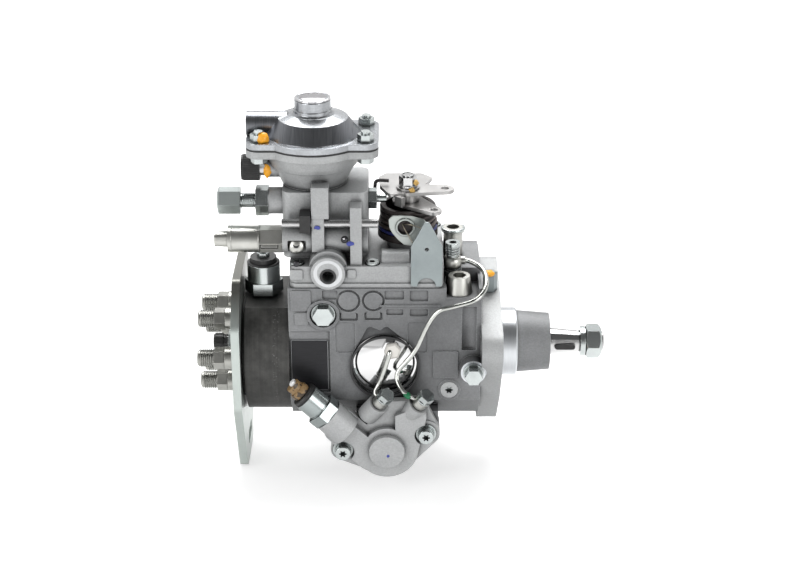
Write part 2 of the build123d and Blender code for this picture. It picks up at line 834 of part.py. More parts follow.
# Distributor plunger with its foot, the control collar, the spring bridge and the springs
spigot_face = head_front + spigot_length
plunger_end = -174.0
foot_thickness = 1.8
with BuildPart() as distributor_plunger:
    with BuildSketch(Plane.XZ):
        with BuildLine():
            Polyline(
                (cam_back, 0),
                (cam_back, 9),
                (cam_back - foot_thickness, 9),
                (cam_back - foot_thickness, plunger_radius),
                (plunger_end, plunger_radius),
                (plunger_end, 0),
                close=True,
            )
        make_face()
    revolve(axis=Axis.X)
distributor_plunger.part.label = "distributor_plunger"
export_step(distributor_plunger.part, "parts/distributor_plunger.step")

collar_ball_z = 9.0
with BuildPart() as control_collar:
    with BuildSketch(Plane.YZ.offset(collar_back)):
        Circle(collar_radius)
        Circle(plunger_radius + shaft_gap, mode=Mode.SUBTRACT)
    extrude(amount=collar_width)
    with BuildSketch(Plane.XY.offset(collar_ball_z - 2.3)):
        with Locations((lever_pivot_x, 0)):
            Rectangle(4.6, 4.6)
    extrude(amount=6, mode=Mode.SUBTRACT)
control_collar.part.label = "control_collar"
export_step(control_collar.part, "parts/control_collar.step")

bridge_thickness = 2.8
bridge_front = cam_back - foot_thickness - free_gap
spring_offset = 22.0


# Spring drawn as its coils lie, a closed stack of rounds: inner and outer radius, ends, coil count
def coil_stack(plane, axis, start, length, radius, wire, coils):
    pitch = length / coils
    points = [(start, radius - wire / 2)]
    for coil in range(coils):
        here = start + coil * pitch
        points.append((here, radius + wire / 4))
        points.append((here + pitch * 0.3, radius + wire / 2))
        points.append((here + pitch * 0.7, radius + wire / 2))
    points.append((start + length, radius + wire / 4))
    points.append((start + length, radius - wire / 2))
    with BuildPart() as spring:
        with BuildSketch(plane):
            with BuildLine():
                Polyline(*points, close=True)
            make_face()
        revolve(axis=axis)
    return spring.part


spring_start = spigot_face + seat_gap
spring_end = bridge_front - bridge_thickness - seat_gap
plunger_springs_pair = []
for side in (-1, 1):
    spring_plane = Plane(origin=(0, side * spring_offset, 0), x_dir=(1, 0, 0), z_dir=(0, -1, 0))
    spring_axis = Axis((0, side * spring_offset, 0), (1, 0, 0))
    plunger_springs_pair.append(
        coil_stack(spring_plane, spring_axis, spring_start, spring_end - spring_start, 5.5, 2.0, 6)
    )
with BuildPart() as plunger_springs:
    add(plunger_springs_pair)
    with BuildSketch(Plane.YZ.offset(bridge_front - bridge_thickness)):
        SlotOverall(60, 18)
        Circle(plunger_radius + 1, mode=Mode.SUBTRACT)
    extrude(amount=bridge_thickness)
plunger_springs.part.label = "plunger_springs"
export_step(plunger_springs.part, "parts/plunger_springs.step")

# Adjusting lever, a fork pinned to both side walls, which carries the start and tension levers
fork_inner = 17.0
fork_plate = 3.0
fork_half = fork_inner + fork_plate
with BuildPart() as adjusting_lever:
    for side in (-1, 1):
        inner_face = side * fork_inner if side > 0 else -fork_inner - fork_plate
        with BuildSketch(Plane.XZ.offset(inner_face)):
            with Locations((lever_pivot_x, lever_pivot_z)):
                Circle(5)
            with Locations((pivot_bolt_x, pivot_bolt_z)):
                Circle(6)
            make_hull()
            with Locations((pivot_bolt_x, pivot_bolt_z)):
                Circle(pivot_bolt_radius - 1 + shaft_gap, mode=Mode.SUBTRACT)
        extrude(amount=fork_plate)
    with BuildSketch(Plane.XZ.offset(-fork_inner)):
        with Locations((pivot_bolt_x - 4, pivot_bolt_z - 2)):
            Rectangle(4, 8)
    extrude(amount=2 * fork_inner)
    with BuildSketch(Plane.XZ.offset(-fork_half)):
        with Locations((lever_pivot_x, lever_pivot_z)):
            Circle(lever_pin_radius)
    extrude(amount=2 * fork_half)
adjusting_lever.part.label = "adjusting_lever"
export_step(adjusting_lever.part, "parts/adjusting_lever.step")

# Pivot bolts of the adjusting lever, screwed in from both sides, with the lock screw and the plug
# beside the window
pivot_seats = (body_half_width + pivot_boss_rise - pivot_sink, body_half_width)
with BuildPart() as pivot_bolts:
    for side, seat in zip((-1, 1), pivot_seats):
        outward = Plane(
            origin=(pivot_bolt_x, side * seat, pivot_bolt_z), x_dir=(1, 0, 0), z_dir=(0, side, 0)
        )
        with BuildSketch(outward):
            Circle(8.5)
        extrude(amount=1.6)
        with BuildSketch(outward.offset(1.6)):
            RegularPolygon(6.5, 6, major_radius=False)
        extrude(amount=5.0)
        with BuildSketch(outward):
            Circle(pivot_bolt_radius - shaft_gap)
        extrude(amount=-(seat - fork_half - 0.5))
        with BuildSketch(outward.offset(-(seat - fork_half - 0.5))):
            Circle(pivot_bolt_radius - 1)
        extrude(amount=-fork_plate - 0.4)
    lock_seat = Plane(
        origin=(lock_screw_x, -body_half_width - lock_boss_length, lock_screw_z),
        x_dir=(1, 0, 0),
        z_dir=(0, -1, 0),
    )
    with BuildSketch(lock_seat):
        Circle(7.4)
    extrude(amount=1.8)
    with BuildSketch(lock_seat.offset(1.8)):
        RegularPolygon(5.5, 6, major_radius=False)
    extrude(amount=7)
    with BuildSketch(lock_seat):
        Circle(4 - shaft_gap)
    extrude(amount=-20)
    with BuildSketch(Plane.XZ.offset(body_half_width - 6 + seat_gap)):
        with Locations((plug_x, plug_z)):
            Circle(plug_radius - shaft_gap)
    extrude(amount=6)
    with BuildSketch(Plane.XZ.offset(body_half_width + seat_gap)):
        with Locations((plug_x, plug_z)):
            RegularPolygon(2.3, 6, major_radius=False)
    extrude(amount=-3, mode=Mode.SUBTRACT)
pivot_bolts.part.label = "pivot_bolts"
export_step(pivot_bolts.part, "parts/pivot_bolts.step")

# Start lever, between the sleeve and the control collar, and the tension lever behind it
lever_plate = 3.0
lever_face = sleeve_back - free_gap
start_lever_top = 58.0
tension_top = 66.0
tension_face = lever_face - lever_plate - 1.6
with BuildPart() as governor_levers:
    with BuildSketch(Plane.YZ.offset(lever_face)):
        with BuildLine():
            Polyline(
                (-4, 12.5),
                (-4, lever_pivot_z - 6),
                (-9, lever_pivot_z - 5),
                (-9, lever_pivot_z + 5),
                (-6, start_lever_top),
                (6, start_lever_top),
                (9, lever_pivot_z + 5),
                (9, lever_pivot_z - 5),
                (4, lever_pivot_z - 6),
                (4, 12.5),
                close=True,
            )
        make_face()
    extrude(amount=-lever_plate)
    with BuildSketch(Plane.XZ.offset(-9)):
        with Locations((lever_pivot_x, lever_pivot_z)):
            Circle(lever_pin_radius + 2)
    extrude(amount=18)
    with BuildSketch(Plane.XY.offset(12.6)):
        with Locations((lever_pivot_x, 0)):
            Circle(1.4)
    extrude(amount=collar_ball_z - 12.6)
    with Locations((lever_pivot_x, 0, collar_ball_z)):
        Sphere(2.0)
    with BuildSketch(Plane.XZ.offset(-10)):
        with Locations((lever_pivot_x, lever_pivot_z)):
            Circle(lever_pin_radius + shaft_gap)
    extrude(amount=20, mode=Mode.SUBTRACT)
    # tension lever behind it
    with BuildSketch(Plane.YZ.offset(tension_face)):
        with BuildLine():
            Polyline(
                (-15, lever_pivot_z - 6),
                (-15, lever_pivot_z + 7),
                (-8, tension_top),
                (8, tension_top),
                (15, lever_pivot_z + 7),
                (15, lever_pivot_z - 6),
                (10.5, lever_pivot_z - 6),
                (10.5, lever_pivot_z + 7),
                (-10.5, lever_pivot_z + 7),
                (-10.5, lever_pivot_z - 6),
                close=True,
            )
        make_face()
    extrude(amount=-2.5)
    for side in (-1, 1):
        ear_start = 10.5 if side > 0 else -15
        with BuildSketch(Plane.XZ.offset(ear_start)):
            with Locations((lever_pivot_x, lever_pivot_z)):
                Circle(5)
        extrude(amount=4.5)
    with BuildSketch(Plane.XZ.offset(-16)):
        with Locations((lever_pivot_x, lever_pivot_z)):
            Circle(lever_pin_radius + shaft_gap)
    extrude(amount=32, mode=Mode.SUBTRACT)
governor_levers.part.label = "governor_levers"
export_step(governor_levers.part, "parts/governor_levers.step")

# Distributor head with its barrel, bores for the outlets and the seat of the shut-off valve
outlet_ring = outlet_pcd / 2
shutoff_x = -171.5
shutoff_bore = 9.0
shutoff_depth = 16.0
with BuildPart() as distributor_head:
    with BuildSketch(Plane.YZ.offset(head_front)):
        Circle(head_radius)
        with Locations((0, head_flat_z + head_radius)):
            Rectangle(2 * head_radius, 2 * head_radius, mode=Mode.SUBTRACT)
    extrude(amount=head_back - head_front)
    with BuildSketch(Plane.YZ.offset(head_back)):
        Circle(head_step_radius)
        with Locations((0, head_flat_z + head_radius)):
            Rectangle(2 * head_radius, 2 * head_radius, mode=Mode.SUBTRACT)
    extrude(amount=-head_step)
    with BuildSketch(Plane.YZ.offset(head_front)):
        Circle(main_bore_radius - seat_gap)
    extrude(amount=spigot_length)
    with BuildSketch(Plane.YZ.offset(head_front)):
        Circle(barrel_radius)
    extrude(amount=spigot_length + barrel_length)
    with BuildSketch(Plane.YZ.offset(spigot_face + barrel_length)):
        Circle(plunger_radius + shaft_gap)
    extrude(amount=plunger_end - 3 - spigot_face - barrel_length, mode=Mode.SUBTRACT)
    with BuildSketch(Plane.YZ.offset(head_back - head_step)):
        with PolarLocations(outlet_ring, outlet_count):
            Circle(7 + shaft_gap)
    extrude(amount=12, mode=Mode.SUBTRACT)
    with BuildSketch(Plane.XY.offset(head_flat_z)):
        with Locations((shutoff_x, 0)):
            Circle(shutoff_bore)
    extrude(amount=-shutoff_depth, mode=Mode.SUBTRACT)
    with BuildSketch(Plane.XY.offset(head_flat_z - shutoff_depth)):
        with Locations((shutoff_x, 0)):
            Circle(2)
    extrude(amount=-18, mode=Mode.SUBTRACT)
distributor_head.part.label = "distributor_head"
export_step(distributor_head.part, "parts/distributor_head.step")

# Steel support plate across the rear of the head, clamped under the outlets
plate_front = head_back - head_step
plate_back = plate_front - plate_thickness
plate_top = 61.6
plate_bottom = -92.8
plate_half = 54.0
plate_top_half = 30.0
plate_bottom_half = 24.0
plate_hole_radius = 7.6
with BuildPart() as rear_plate:
    with BuildSketch(Plane.YZ.offset(plate_back)) as plate_outline:
        with BuildLine():
            Polyline(
                (-plate_top_half, plate_top),
                (-plate_half, 34),
                (-plate_half, -30),
                (-plate_bottom_half, plate_bottom),
                (plate_bottom_half, plate_bottom),
                (plate_half, -30),
                (plate_half, 34),
                (plate_top_half, plate_top),
                close=True,
            )
        make_face()
        fillet(plate_outline.vertices(), 8)
        with PolarLocations(outlet_ring, outlet_count):
            Circle(plate_hole_radius, mode=Mode.SUBTRACT)
        with Locations((0, -76)):
            SlotOverall(26, 11, mode=Mode.SUBTRACT)
    extrude(amount=plate_thickness)
rear_plate.part.label = "rear_plate"
export_step(rear_plate.part, "parts/rear_plate.step")



# Place of one outlet: two stand either side of the top, at 30 degrees from upright
def outlet_place(number):
    angle = math.radians(120 + 360 / outlet_count * number)
    return outlet_ring * math.cos(angle), outlet_ring * math.sin(angle)


# Delivery valve holders: hexagon, thread and fuel bore
holder_start = plate_front + 11.8
holder_shoulder = plate_back - 7.0
holder_hex_end = plate_back - 15.0
holder_bore_end = plate_back - 11.0
with BuildPart() as delivery_holders:
    for number in range(outlet_count):
        y, z = outlet_place(number)
        holder_plane = Plane(origin=(0, y, z), x_dir=(1, 0, 0), z_dir=(0, -1, 0))
        with BuildSketch(holder_plane):
            with BuildLine():
                Polyline(
                    (holder_start, 0),
                    (holder_start, 7.0),
                    (plate_back, 7.0),
                    (plate_back, 8.3),
                    (holder_shoulder, 8.3),
                    (holder_shoulder, 6.4),
                    (holder_hex_end, 6.4),
                    (holder_hex_end, outlet_thread_radius),
                    (outlet_end + 1, outlet_thread_radius),
                    (outlet_end, outlet_thread_radius - 1),
                    (outlet_end, 0),
                    close=True,
                )
            make_face()
        revolve(axis=Axis((0, y, z), (1, 0, 0)))
        with BuildSketch(Plane.YZ.offset(holder_shoulder)):
            with Locations((y, z)):
                RegularPolygon(outlet_hex / 2, 6, major_radius=False)
        extrude(amount=holder_hex_end - holder_shoulder)
        with BuildSketch(holder_plane):
            with BuildLine():
                Polyline(
                    (holder_start, 0),
                    (holder_start, outlet_bore),
                    (holder_bore_end, outlet_bore),
                    (holder_bore_end - 2, 1.5),
                    (outlet_end + 4, 1.5),
                    (outlet_end, 4.0),
                    (outlet_end, 0),
                    close=True,
                )
            make_face()
        revolve(axis=Axis((0, y, z), (1, 0, 0)), mode=Mode.SUBTRACT)
delivery_holders.part.label = "delivery_holders"
export_step(delivery_holders.part, "parts/delivery_holders.step")

# Delivery valves on their seats, each with its spring, one inside each holder
valve_length = 11.0
valve_start = holder_start - seat_gap
spring_back = holder_bore_end + valve_travel + free_gap
spring_front = valve_start - 8 - seat_gap
valve_springs = []
for number in range(outlet_count):
    y, z = outlet_place(number)
    valve_springs.append(
        coil_stack(
            Plane(origin=(0, y, z), x_dir=(1, 0, 0), z_dir=(0, -1, 0)),
            Axis((0, y, z), (1, 0, 0)),
            spring_back,
            spring_front - spring_back,
            2.9,
            1.2,
            4,
        )
    )
with BuildPart() as delivery_valves:
    add(valve_springs)
    for number in range(outlet_count):
        y, z = outlet_place(number)
        with BuildSketch(Plane(origin=(0, y, z), x_dir=(1, 0, 0), z_dir=(0, -1, 0))):
            with BuildLine():
                Polyline(
                    (valve_start, 0),
                    (valve_start - 1.5, 2.4),
                    (valve_start - 5, 2.4),
                    (valve_start - 6, outlet_bore - 0.07),
                    (valve_start - 8, outlet_bore - 0.07),
                    (valve_start - 8, 1.8),
                    (valve_start - valve_length, 1.8),
                    (valve_start - valve_length, 0),
                    close=True,
                )
            make_face()
        revolve(axis=Axis((0, y, z), (1, 0, 0)))
delivery_valves.part.label = "delivery_valves"
export_step(delivery_valves.part, "parts/delivery_valves.step")

# Central bleed screw of the head, and its dark cap
bleed_radius = 5.0
with BuildPart() as bleed_screw:
    with BuildSketch(Plane.YZ.offset(plate_back)):
        RegularPolygon(7, 6, major_radius=False)
    extrude(amount=-7)
    with BuildSketch(Plane.YZ.offset(plate_back - 7)):
        Circle(bleed_radius)
    extrude(amount=-11)
    with BuildSketch(Plane.YZ.offset(plate_back - 11)):
        Circle(bleed_radius + 0.9)
    extrude(amount=-6)
bleed_screw.part.label = "bleed_screw"
export_step(bleed_screw.part, "parts/bleed_screw.step")

# Shut-off solenoid on top of the head, with its sealing ring, terminal and sliding armature
shutoff_hex = 24.0
shutoff_top = head_flat_z + 24
armature_travel = 1.5
with BuildPart() as shutoff_solenoid:
    with BuildSketch(Plane.XY.offset(head_flat_z - 10)):
        with Locations((shutoff_x, 0)):
            Circle(shutoff_bore - shaft_gap)
    extrude(amount=11.5)
    with BuildSketch(Plane.XY.offset(head_flat_z + 1.5)):
        with Locations((shutoff_x, 0)):
            RegularPolygon(shutoff_hex / 2, 6, major_radius=False)
    extrude(amount=9)
    with BuildSketch(Plane.XY.offset(head_flat_z + 10.5)):
        with Locations((shutoff_x, 0)):
            Circle(11.8)
    extrude(amount=13.5)
    with BuildSketch(Plane.XY.offset(head_flat_z - 10)):
        with Locations((shutoff_x, 0)):
            Circle(4)
    extrude(amount=18, mode=Mode.SUBTRACT)
    # sealing ring, terminal stud and its nut
    with BuildSketch(Plane.XY.offset(shutoff_top)):
        with Locations((shutoff_x, 0)):
            Circle(9.5)
            Circle(2.6, mode=Mode.SUBTRACT)
    extrude(amount=4)
    with BuildSketch(Plane.XY.offset(shutoff_top)):
        with Locations((shutoff_x, 0)):
            Circle(2.0)
    extrude(amount=11)
    with BuildSketch(Plane.XY.offset(shutoff_top + 4)):
        with Locations((shutoff_x, 0)):
            RegularPolygon(4, 6, major_radius=False)
    extrude(amount=3.2)
shutoff_solenoid.part.label = "shutoff_solenoid"
export_step(shutoff_solenoid.part, "parts/shutoff_solenoid.step")

armature_bottom = head_flat_z - shutoff_depth + 0.2
with BuildPart() as shutoff_armature:
    with BuildSketch(Plane.XZ) as armature_profile:
        with BuildLine():
            Polyline(
                (shutoff_x, armature_bottom),
                (shutoff_x + 2.6, armature_bottom),
                (shutoff_x + 3.93, armature_bottom + 1.5),
                (shutoff_x + 3.93, head_flat_z + 8 - armature_travel - free_gap),
                (shutoff_x, head_flat_z + 8 - armature_travel - free_gap),
                close=True,
            )
        make_face()
    revolve(axis=Axis((shutoff_x, 0, 0), (0, 0, 1)))
shutoff_armature.part.label = "shutoff_armature"
export_step(shutoff_armature.part, "parts/shutoff_armature.step")

# Governor cover with the compensator's bowl, the lever tower and the side bosses
boost_axis = Axis((boost_x, 0, 0), (0, 0, 1))
bowl_top = boost_joint - diaphragm_thickness / 2
bowl_spring_seat = pedestal_top + 7.0
pedestal_half = 26.0
cover_rim = 1.0
cover_rim_height = 3.4
travel_stop_y = -12.0
travel_stop_z = 116.0
travel_stop_boss = 9.5
full_load_y = -25.0
full_load_z = 92.0
full_load_boss = 9.5
full_load_niche_y = -full_load_y + 5.4
rod_y = -33.0
rod_z = 107.0
rod_radius = 3.0
vent_y = -5.0
vent_z = 138.3
vent_face = boost_x - 33.0
port_x = -122.9
port_z = 74.0
cover_screw_x = (-145.0, -92.0, -48.0)
cover_screw_y = 36.0
cover_screw_radius = 3.0
with BuildPart() as governor_cover:
    with BuildSketch(Plane.XY.offset(cover_joint)):
        with Locations(((cover_back + deck_front) / 2, 0)):
            RectangleRounded(deck_front - cover_back, 2 * cover_half_width, 5)
    extrude(amount=cover_deck - cover_joint)
    with BuildSketch(Plane.XY.offset(cover_joint)):
        with Locations(((cover_back + deck_front) / 2, 0)):
            RectangleRounded(deck_front - cover_back, 2 * (cover_half_width + cover_rim), 5)
    extrude(amount=cover_rim_height)
    with BuildSketch(Plane.XY.offset(cover_deck)):
        with Locations(((pedestal_left + pedestal_right) / 2, 0)):
            RectangleRounded(pedestal_right - pedestal_left, 2 * pedestal_half, 6)
    extrude(amount=pedestal_top - cover_deck)
    # bowl and flange of the boost compensator
    with BuildSketch(Plane.XZ):
        with BuildLine():
            Polyline(
                (boost_x, pedestal_top - 4),
                (boost_x + 21, pedestal_top - 4),
                (boost_x + 25, pedestal_top + 5),
                (boost_x + 31.5, pedestal_top + 17),
                (boost_x + 34.5, bowl_top - boost_flange),
                (boost_x + boost_flange_radius, bowl_top - boost_flange),
                (boost_x + boost_flange_radius, bowl_top),
                (boost_x, bowl_top),
                close=True,
            )
        make_face()
    revolve(axis=boost_axis)
    with BuildSketch(Plane.XY.offset(bowl_top - boost_flange)):
        with Locations((boost_x, 0)):
            with GridLocations(2 * boost_ear_x, 2 * boost_ear_y, 2, 2):
                Circle(boost_ear_radius)
        make_hull()
    extrude(amount=boost_flange)
    # boss of the travel stop, boss of the full-load screw, vent boss
    with BuildSketch(Plane.YZ.offset(pedestal_left - 10)):
        with Locations((travel_stop_y, travel_stop_z)):
            Circle(travel_stop_boss)
    extrude(amount=40)
    with BuildSketch(Plane.YZ.offset(pedestal_left)):
        with Locations((full_load_y, full_load_z)):
            Circle(full_load_boss)
    extrude(amount=pedestal_right - pedestal_left)
    with BuildSketch(Plane.YZ.offset(vent_face)):
        with Locations((vent_y, vent_z)):
            Circle(7)
    extrude(amount=16)
    # columns that carry the cross rod on the near side
    with BuildSketch(Plane.XY.offset(rod_z + 5)):
        with Locations((boost_x + 5.4, -pedestal_half - 6)):
            Rectangle(12, 12)
    extrude(amount=23)
    with BuildSketch(Plane.XY.offset(rod_z - 20)):
        with Locations((boost_x + 3.7, -pedestal_half - 6)):
            Rectangle(8.6, 11)
    extrude(amount=25)
    with BuildSketch(Plane.XY.offset(cover_deck)):
        with Locations((-103.2, -pedestal_half - 7)):
            Rectangle(8, 14)
    extrude(amount=43)
    # threaded port on the near side, and the lever tower with the boss beside it
    with BuildSketch(Plane.XZ.offset(pedestal_half - 2)):
        with Locations((port_x, port_z + 1.6)):
            Circle(13.4)
    extrude(amount=cover_half_width + 1 - pedestal_half)
    with BuildSketch(Plane.XZ.offset(cover_half_width - 4)):
        with Locations((port_x, port_z)):
            Circle(12)
    extrude(amount=8)
    with BuildSketch(Plane.XZ.offset(cover_half_width)):
        with Locations((-106.5, 72.6)):
            RectangleRounded(6, 6.5, 1.5)
        with Locations((-145.2, 72.0)):
            RectangleRounded(9, 7.5, 1.2)
    extrude(amount=0.9)
    with BuildSketch(Plane.XY.offset(cover_deck)):
        with Locations((lever_x, 0)):
            Circle(tower_radius)
    extrude(amount=tower_top - cover_deck)
    with BuildSketch(Plane.YZ.offset(-85.5)):
        with Locations((-28, cover_deck - 1)):
            Circle(8)
    extrude(amount=19.5)
    # chamber below, bowl cavity above, and the bores between them
    with BuildSketch(Plane.XY.offset(cover_joint)):
        with Locations(((-142 - 52) / 2, 0)):
            Rectangle(90, 2 * chamber_half_width)
    extrude(amount=cover_ceiling - cover_joint, mode=Mode.SUBTRACT)
    with BuildSketch(Plane.XZ):
        with BuildLine():
            Polyline(
                (boost_x, cover_deck - 4),
                (boost_x + boost_pin_radius + shaft_gap, cover_deck - 4),
                (boost_x + boost_pin_radius + shaft_gap, bowl_spring_seat),
                (boost_x + 16, bowl_spring_seat),
                (boost_x + 17, pedestal_top + 17),
                (boost_x + 28, pedestal_top + 20),
                (boost_x + boost_bowl_radius, bowl_top),
                (boost_x, bowl_top),
                close=True,
            )
        make_face()
    revolve(axis=boost_axis, mode=Mode.SUBTRACT)
    with BuildSketch(Plane.XY.offset(cover_joint)):
        with Locations((lever_x, 0)):
            Circle(lever_shaft_radius + shaft_gap)
    extrude(amount=tower_top - cover_joint, mode=Mode.SUBTRACT)
    with BuildSketch(Plane.XY.offset(bowl_top - boost_flange)):
        with Locations((boost_x, 0)):
            with GridLocations(2 * boost_ear_x, 2 * boost_ear_y, 2, 2):
                Circle(3.2)
    extrude(amount=boost_flange, mode=Mode.SUBTRACT)
    with BuildSketch(Plane.YZ.offset(pedestal_left - 11)):
        with Locations((travel_stop_y, travel_stop_z)):
            Circle(5.1)
    extrude(amount=24, mode=Mode.SUBTRACT)
    with BuildSketch(Plane.YZ.offset(pedestal_left - 1)):
        with Locations((full_load_y, full_load_z)):
            Circle(4.1)
    extrude(amount=24, mode=Mode.SUBTRACT)
    with BuildSketch(Plane.YZ.offset(vent_face)):
        with Locations((vent_y, vent_z)):
            Circle(3.5)
    extrude(amount=10, mode=Mode.SUBTRACT)
    with BuildSketch(Plane.YZ.offset(pedestal_left)):
        with Locations((rod_y, rod_z)):
            Circle(rod_radius + shaft_gap)
    extrude(amount=70, mode=Mode.SUBTRACT)
    with BuildSketch(Plane.XZ.offset(cover_half_width + 4)):
        with Locations((port_x, port_z - 2)):
            Circle(4.6)
    extrude(amount=-14, mode=Mode.SUBTRACT)
    # niche under the full-load screw
    with BuildSketch(Plane.XZ.offset(full_load_niche_y)):
        with Locations((-144.8, full_load_z - 3.2)):
            RectangleRounded(13, 11, 1)
    extrude(amount=8, mode=Mode.SUBTRACT)
    for x in cover_screw_x:
        with BuildSketch(Plane.XY.offset(cover_deck)):
            with Locations((x, -cover_screw_y), (x, cover_screw_y)):
                Circle(cover_screw_radius + 2.6)
        extrude(amount=-4, mode=Mode.SUBTRACT)
        with BuildSketch(Plane.XY.offset(cover_joint)):
            with Locations((x, -cover_screw_y), (x, cover_screw_y)):
                Circle(cover_screw_radius + seat_gap)
        extrude(amount=cover_deck - cover_joint, mode=Mode.SUBTRACT)
governor_cover.part.label = "governor_cover"
export_step(governor_cover.part, "parts/governor_cover.step")

# Screws of the governor cover, and the bolts of the two timing covers
timing_ear_face = timing_cover_thickness - 4
timing_bolt_radius = 3.0
timing_far_thickness = 8.0
with BuildPart() as cover_screws:
    for x in cover_screw_x:
        with BuildSketch(Plane.XY.offset(cover_deck - 4)):
            with Locations((x, -cover_screw_y), (x, cover_screw_y)):
                Circle(cover_screw_radius + 2)
        extrude(amount=5.5)
        with BuildSketch(Plane.XY.offset(cover_deck - 4)):
            with Locations((x, -cover_screw_y), (x, cover_screw_y)):
                Circle(cover_screw_radius)
        extrude(amount=-(cover_deck - 4 - cover_joint))
        with BuildSketch(Plane.XY.offset(cover_deck + 1.5)):
            with Locations((x, -cover_screw_y), (x, cover_screw_y)):
                RegularPolygon(1.9, 6, major_radius=False)
        extrude(amount=-2.5, mode=Mode.SUBTRACT)
    for side, thickness in ((-1, timing_ear_face), (1, timing_far_thickness)):
        for x, z, radius in timing_ears:
            ear_seat = Plane(
                origin=(x, side * (timing_boss_half + thickness), z), x_dir=(1, 0, 0), z_dir=(0, side, 0)
            )
            with BuildSketch(ear_seat):
                Circle(7.4)
            extrude(amount=1.3)
            with BuildSketch(ear_seat.offset(1.3)):
                Circle(5.6)
            extrude(amount=5.2)
            with BuildSketch(ear_seat):
                Circle(timing_bolt_radius)
            extrude(amount=-thickness)
            with BuildSketch(ear_seat.offset(6.5)):
                RegularPolygon(2.4, 6, major_radius=False)
            extrude(amount=-3, mode=Mode.SUBTRACT)
cover_screws.part.label = "cover_screws"
export_step(cover_screws.part, "parts/cover_screws.step")

# Compensator cover: four-eared flange, cone, neck with its pressed cap, and the boost pipe stub
boost_cover_base = bowl_top + diaphragm_thickness
boost_cover_flange = 4.3
cone_foot = boost_cover_base + boost_cover_flange
cone_top = cone_foot + 11.5
neck_top = cone_top + 6.0
boost_cap_top = neck_top + 8.3
boost_pipe_y = 2.0
boost_pipe_z = cone_foot + 5.5
boost_pipe_radius = 8.9
boost_pipe_bore = 5.5
boost_pipe_depth = 16.0
boost_duct_radius = 3.4
boost_pipe_reach = 46.6
cone_foot_radius = boost_bowl_radius + 3.0
cone_crest_radius = boost_bowl_radius - 5.5
cap_root_radius = cone_crest_radius / 2 + 2.75
cap_radius = cap_root_radius - 1.4
cap_rim_radius = cap_radius - 0.8
cap_face_radius = cap_rim_radius - 1.8
cone_inner_radius = cone_crest_radius - 2.5
cap_inner_radius = cap_rim_radius - 2.8
duct_start = boost_pipe_reach - 18.0
boost_bolt_hole = 3.2
with BuildPart() as boost_cover:
    with BuildSketch(Plane.XY.offset(boost_cover_base)):
        with Locations((boost_x, 0)):
            with GridLocations(2 * boost_ear_x, 2 * boost_ear_y, 2, 2):
                Circle(boost_ear_radius)
        make_hull()
        with Locations((boost_x, 0)):
            Circle(boost_flange_radius)
    extrude(amount=boost_cover_flange)
    with BuildSketch(Plane.XZ):
        with BuildLine():
            Polyline(
                (boost_x, boost_cover_base + 1),
                (boost_x + cone_foot_radius, boost_cover_base + 1),
                (boost_x + cone_foot_radius, cone_foot + 0.5),
                (boost_x + cone_crest_radius, cone_top),
                (boost_x + cap_root_radius, cone_top + 2.5),
                (boost_x + cap_radius, cone_top + 4),
                (boost_x + cap_radius, neck_top),
                (boost_x + cap_rim_radius, neck_top),
                (boost_x + cap_rim_radius, boost_cap_top - 1.6),
                (boost_x + cap_face_radius, boost_cap_top),
                (boost_x, boost_cap_top - 0.6),
                close=True,
            )
        make_face()
    revolve(axis=boost_axis)
    with BuildSketch(Plane.YZ.offset(boost_x - boost_pipe_reach)):
        with Locations((boost_pipe_y, boost_pipe_z)):
            Circle(boost_pipe_radius)
    extrude(amount=duct_start)
    with BuildSketch(Plane.XZ):
        with BuildLine():
            Polyline(
                (boost_x, boost_cover_base),
                (boost_x + boost_bowl_radius, boost_cover_base),
                (boost_x + boost_bowl_radius, boost_cover_base + 4),
                (boost_x + cone_inner_radius, cone_top - 2),
                (boost_x + cap_inner_radius, cone_top),
                (boost_x + cap_inner_radius, neck_top + 3),
                (boost_x, neck_top + 3),
                close=True,
            )
        make_face()
    revolve(axis=boost_axis, mode=Mode.SUBTRACT)
    with BuildSketch(Plane.YZ.offset(boost_x - boost_pipe_reach)):
        with Locations((boost_pipe_y, boost_pipe_z)):
            Circle(boost_pipe_bore)
    extrude(amount=boost_pipe_depth, mode=Mode.SUBTRACT)
    with BuildSketch(Plane.YZ.offset(boost_x - boost_pipe_reach)):
        with Locations((boost_pipe_y, boost_pipe_z)):
            Circle(boost_duct_radius)
    extrude(amount=duct_start, mode=Mode.SUBTRACT)
    with BuildSketch(Plane.XY.offset(boost_cover_base)):
        with Locations((boost_x, 0)):
            with GridLocations(2 * boost_ear_x, 2 * boost_ear_y, 2, 2):
                Circle(boost_bolt_hole)
    extrude(amount=boost_cover_flange, mode=Mode.SUBTRACT)
boost_cover.part.label = "boost_cover"
export_step(boost_cover.part, "parts/boost_cover.step")

# Four bolts with nuts through both flanges of the compensator
boost_bolt_radius = 3.1
boost_nut = 10.0
with BuildPart() as boost_bolts:
    with BuildSketch(Plane.XY.offset(cone_foot)):
        with Locations((boost_x, 0)):
            with GridLocations(2 * boost_ear_x, 2 * boost_ear_y, 2, 2):
                RegularPolygon(boost_nut / 2, 6, major_radius=False)
    extrude(amount=5)
    with BuildSketch(Plane.XY.offset(bowl_top - boost_flange - 5)):
        with Locations((boost_x, 0)):
            with GridLocations(2 * boost_ear_x, 2 * boost_ear_y, 2, 2):
                RegularPolygon(boost_nut / 2, 6, major_radius=False)
    extrude(amount=5)
    with BuildSketch(Plane.XY.offset(bowl_top - boost_flange)):
        with Locations((boost_x, 0)):
            with GridLocations(2 * boost_ear_x, 2 * boost_ear_y, 2, 2):
                Circle(boost_bolt_radius)
    extrude(amount=cone_foot + 7 - bowl_top + boost_flange)
boost_bolts.part.label = "boost_bolts"
export_step(boost_bolts.part, "parts/boost_bolts.step")

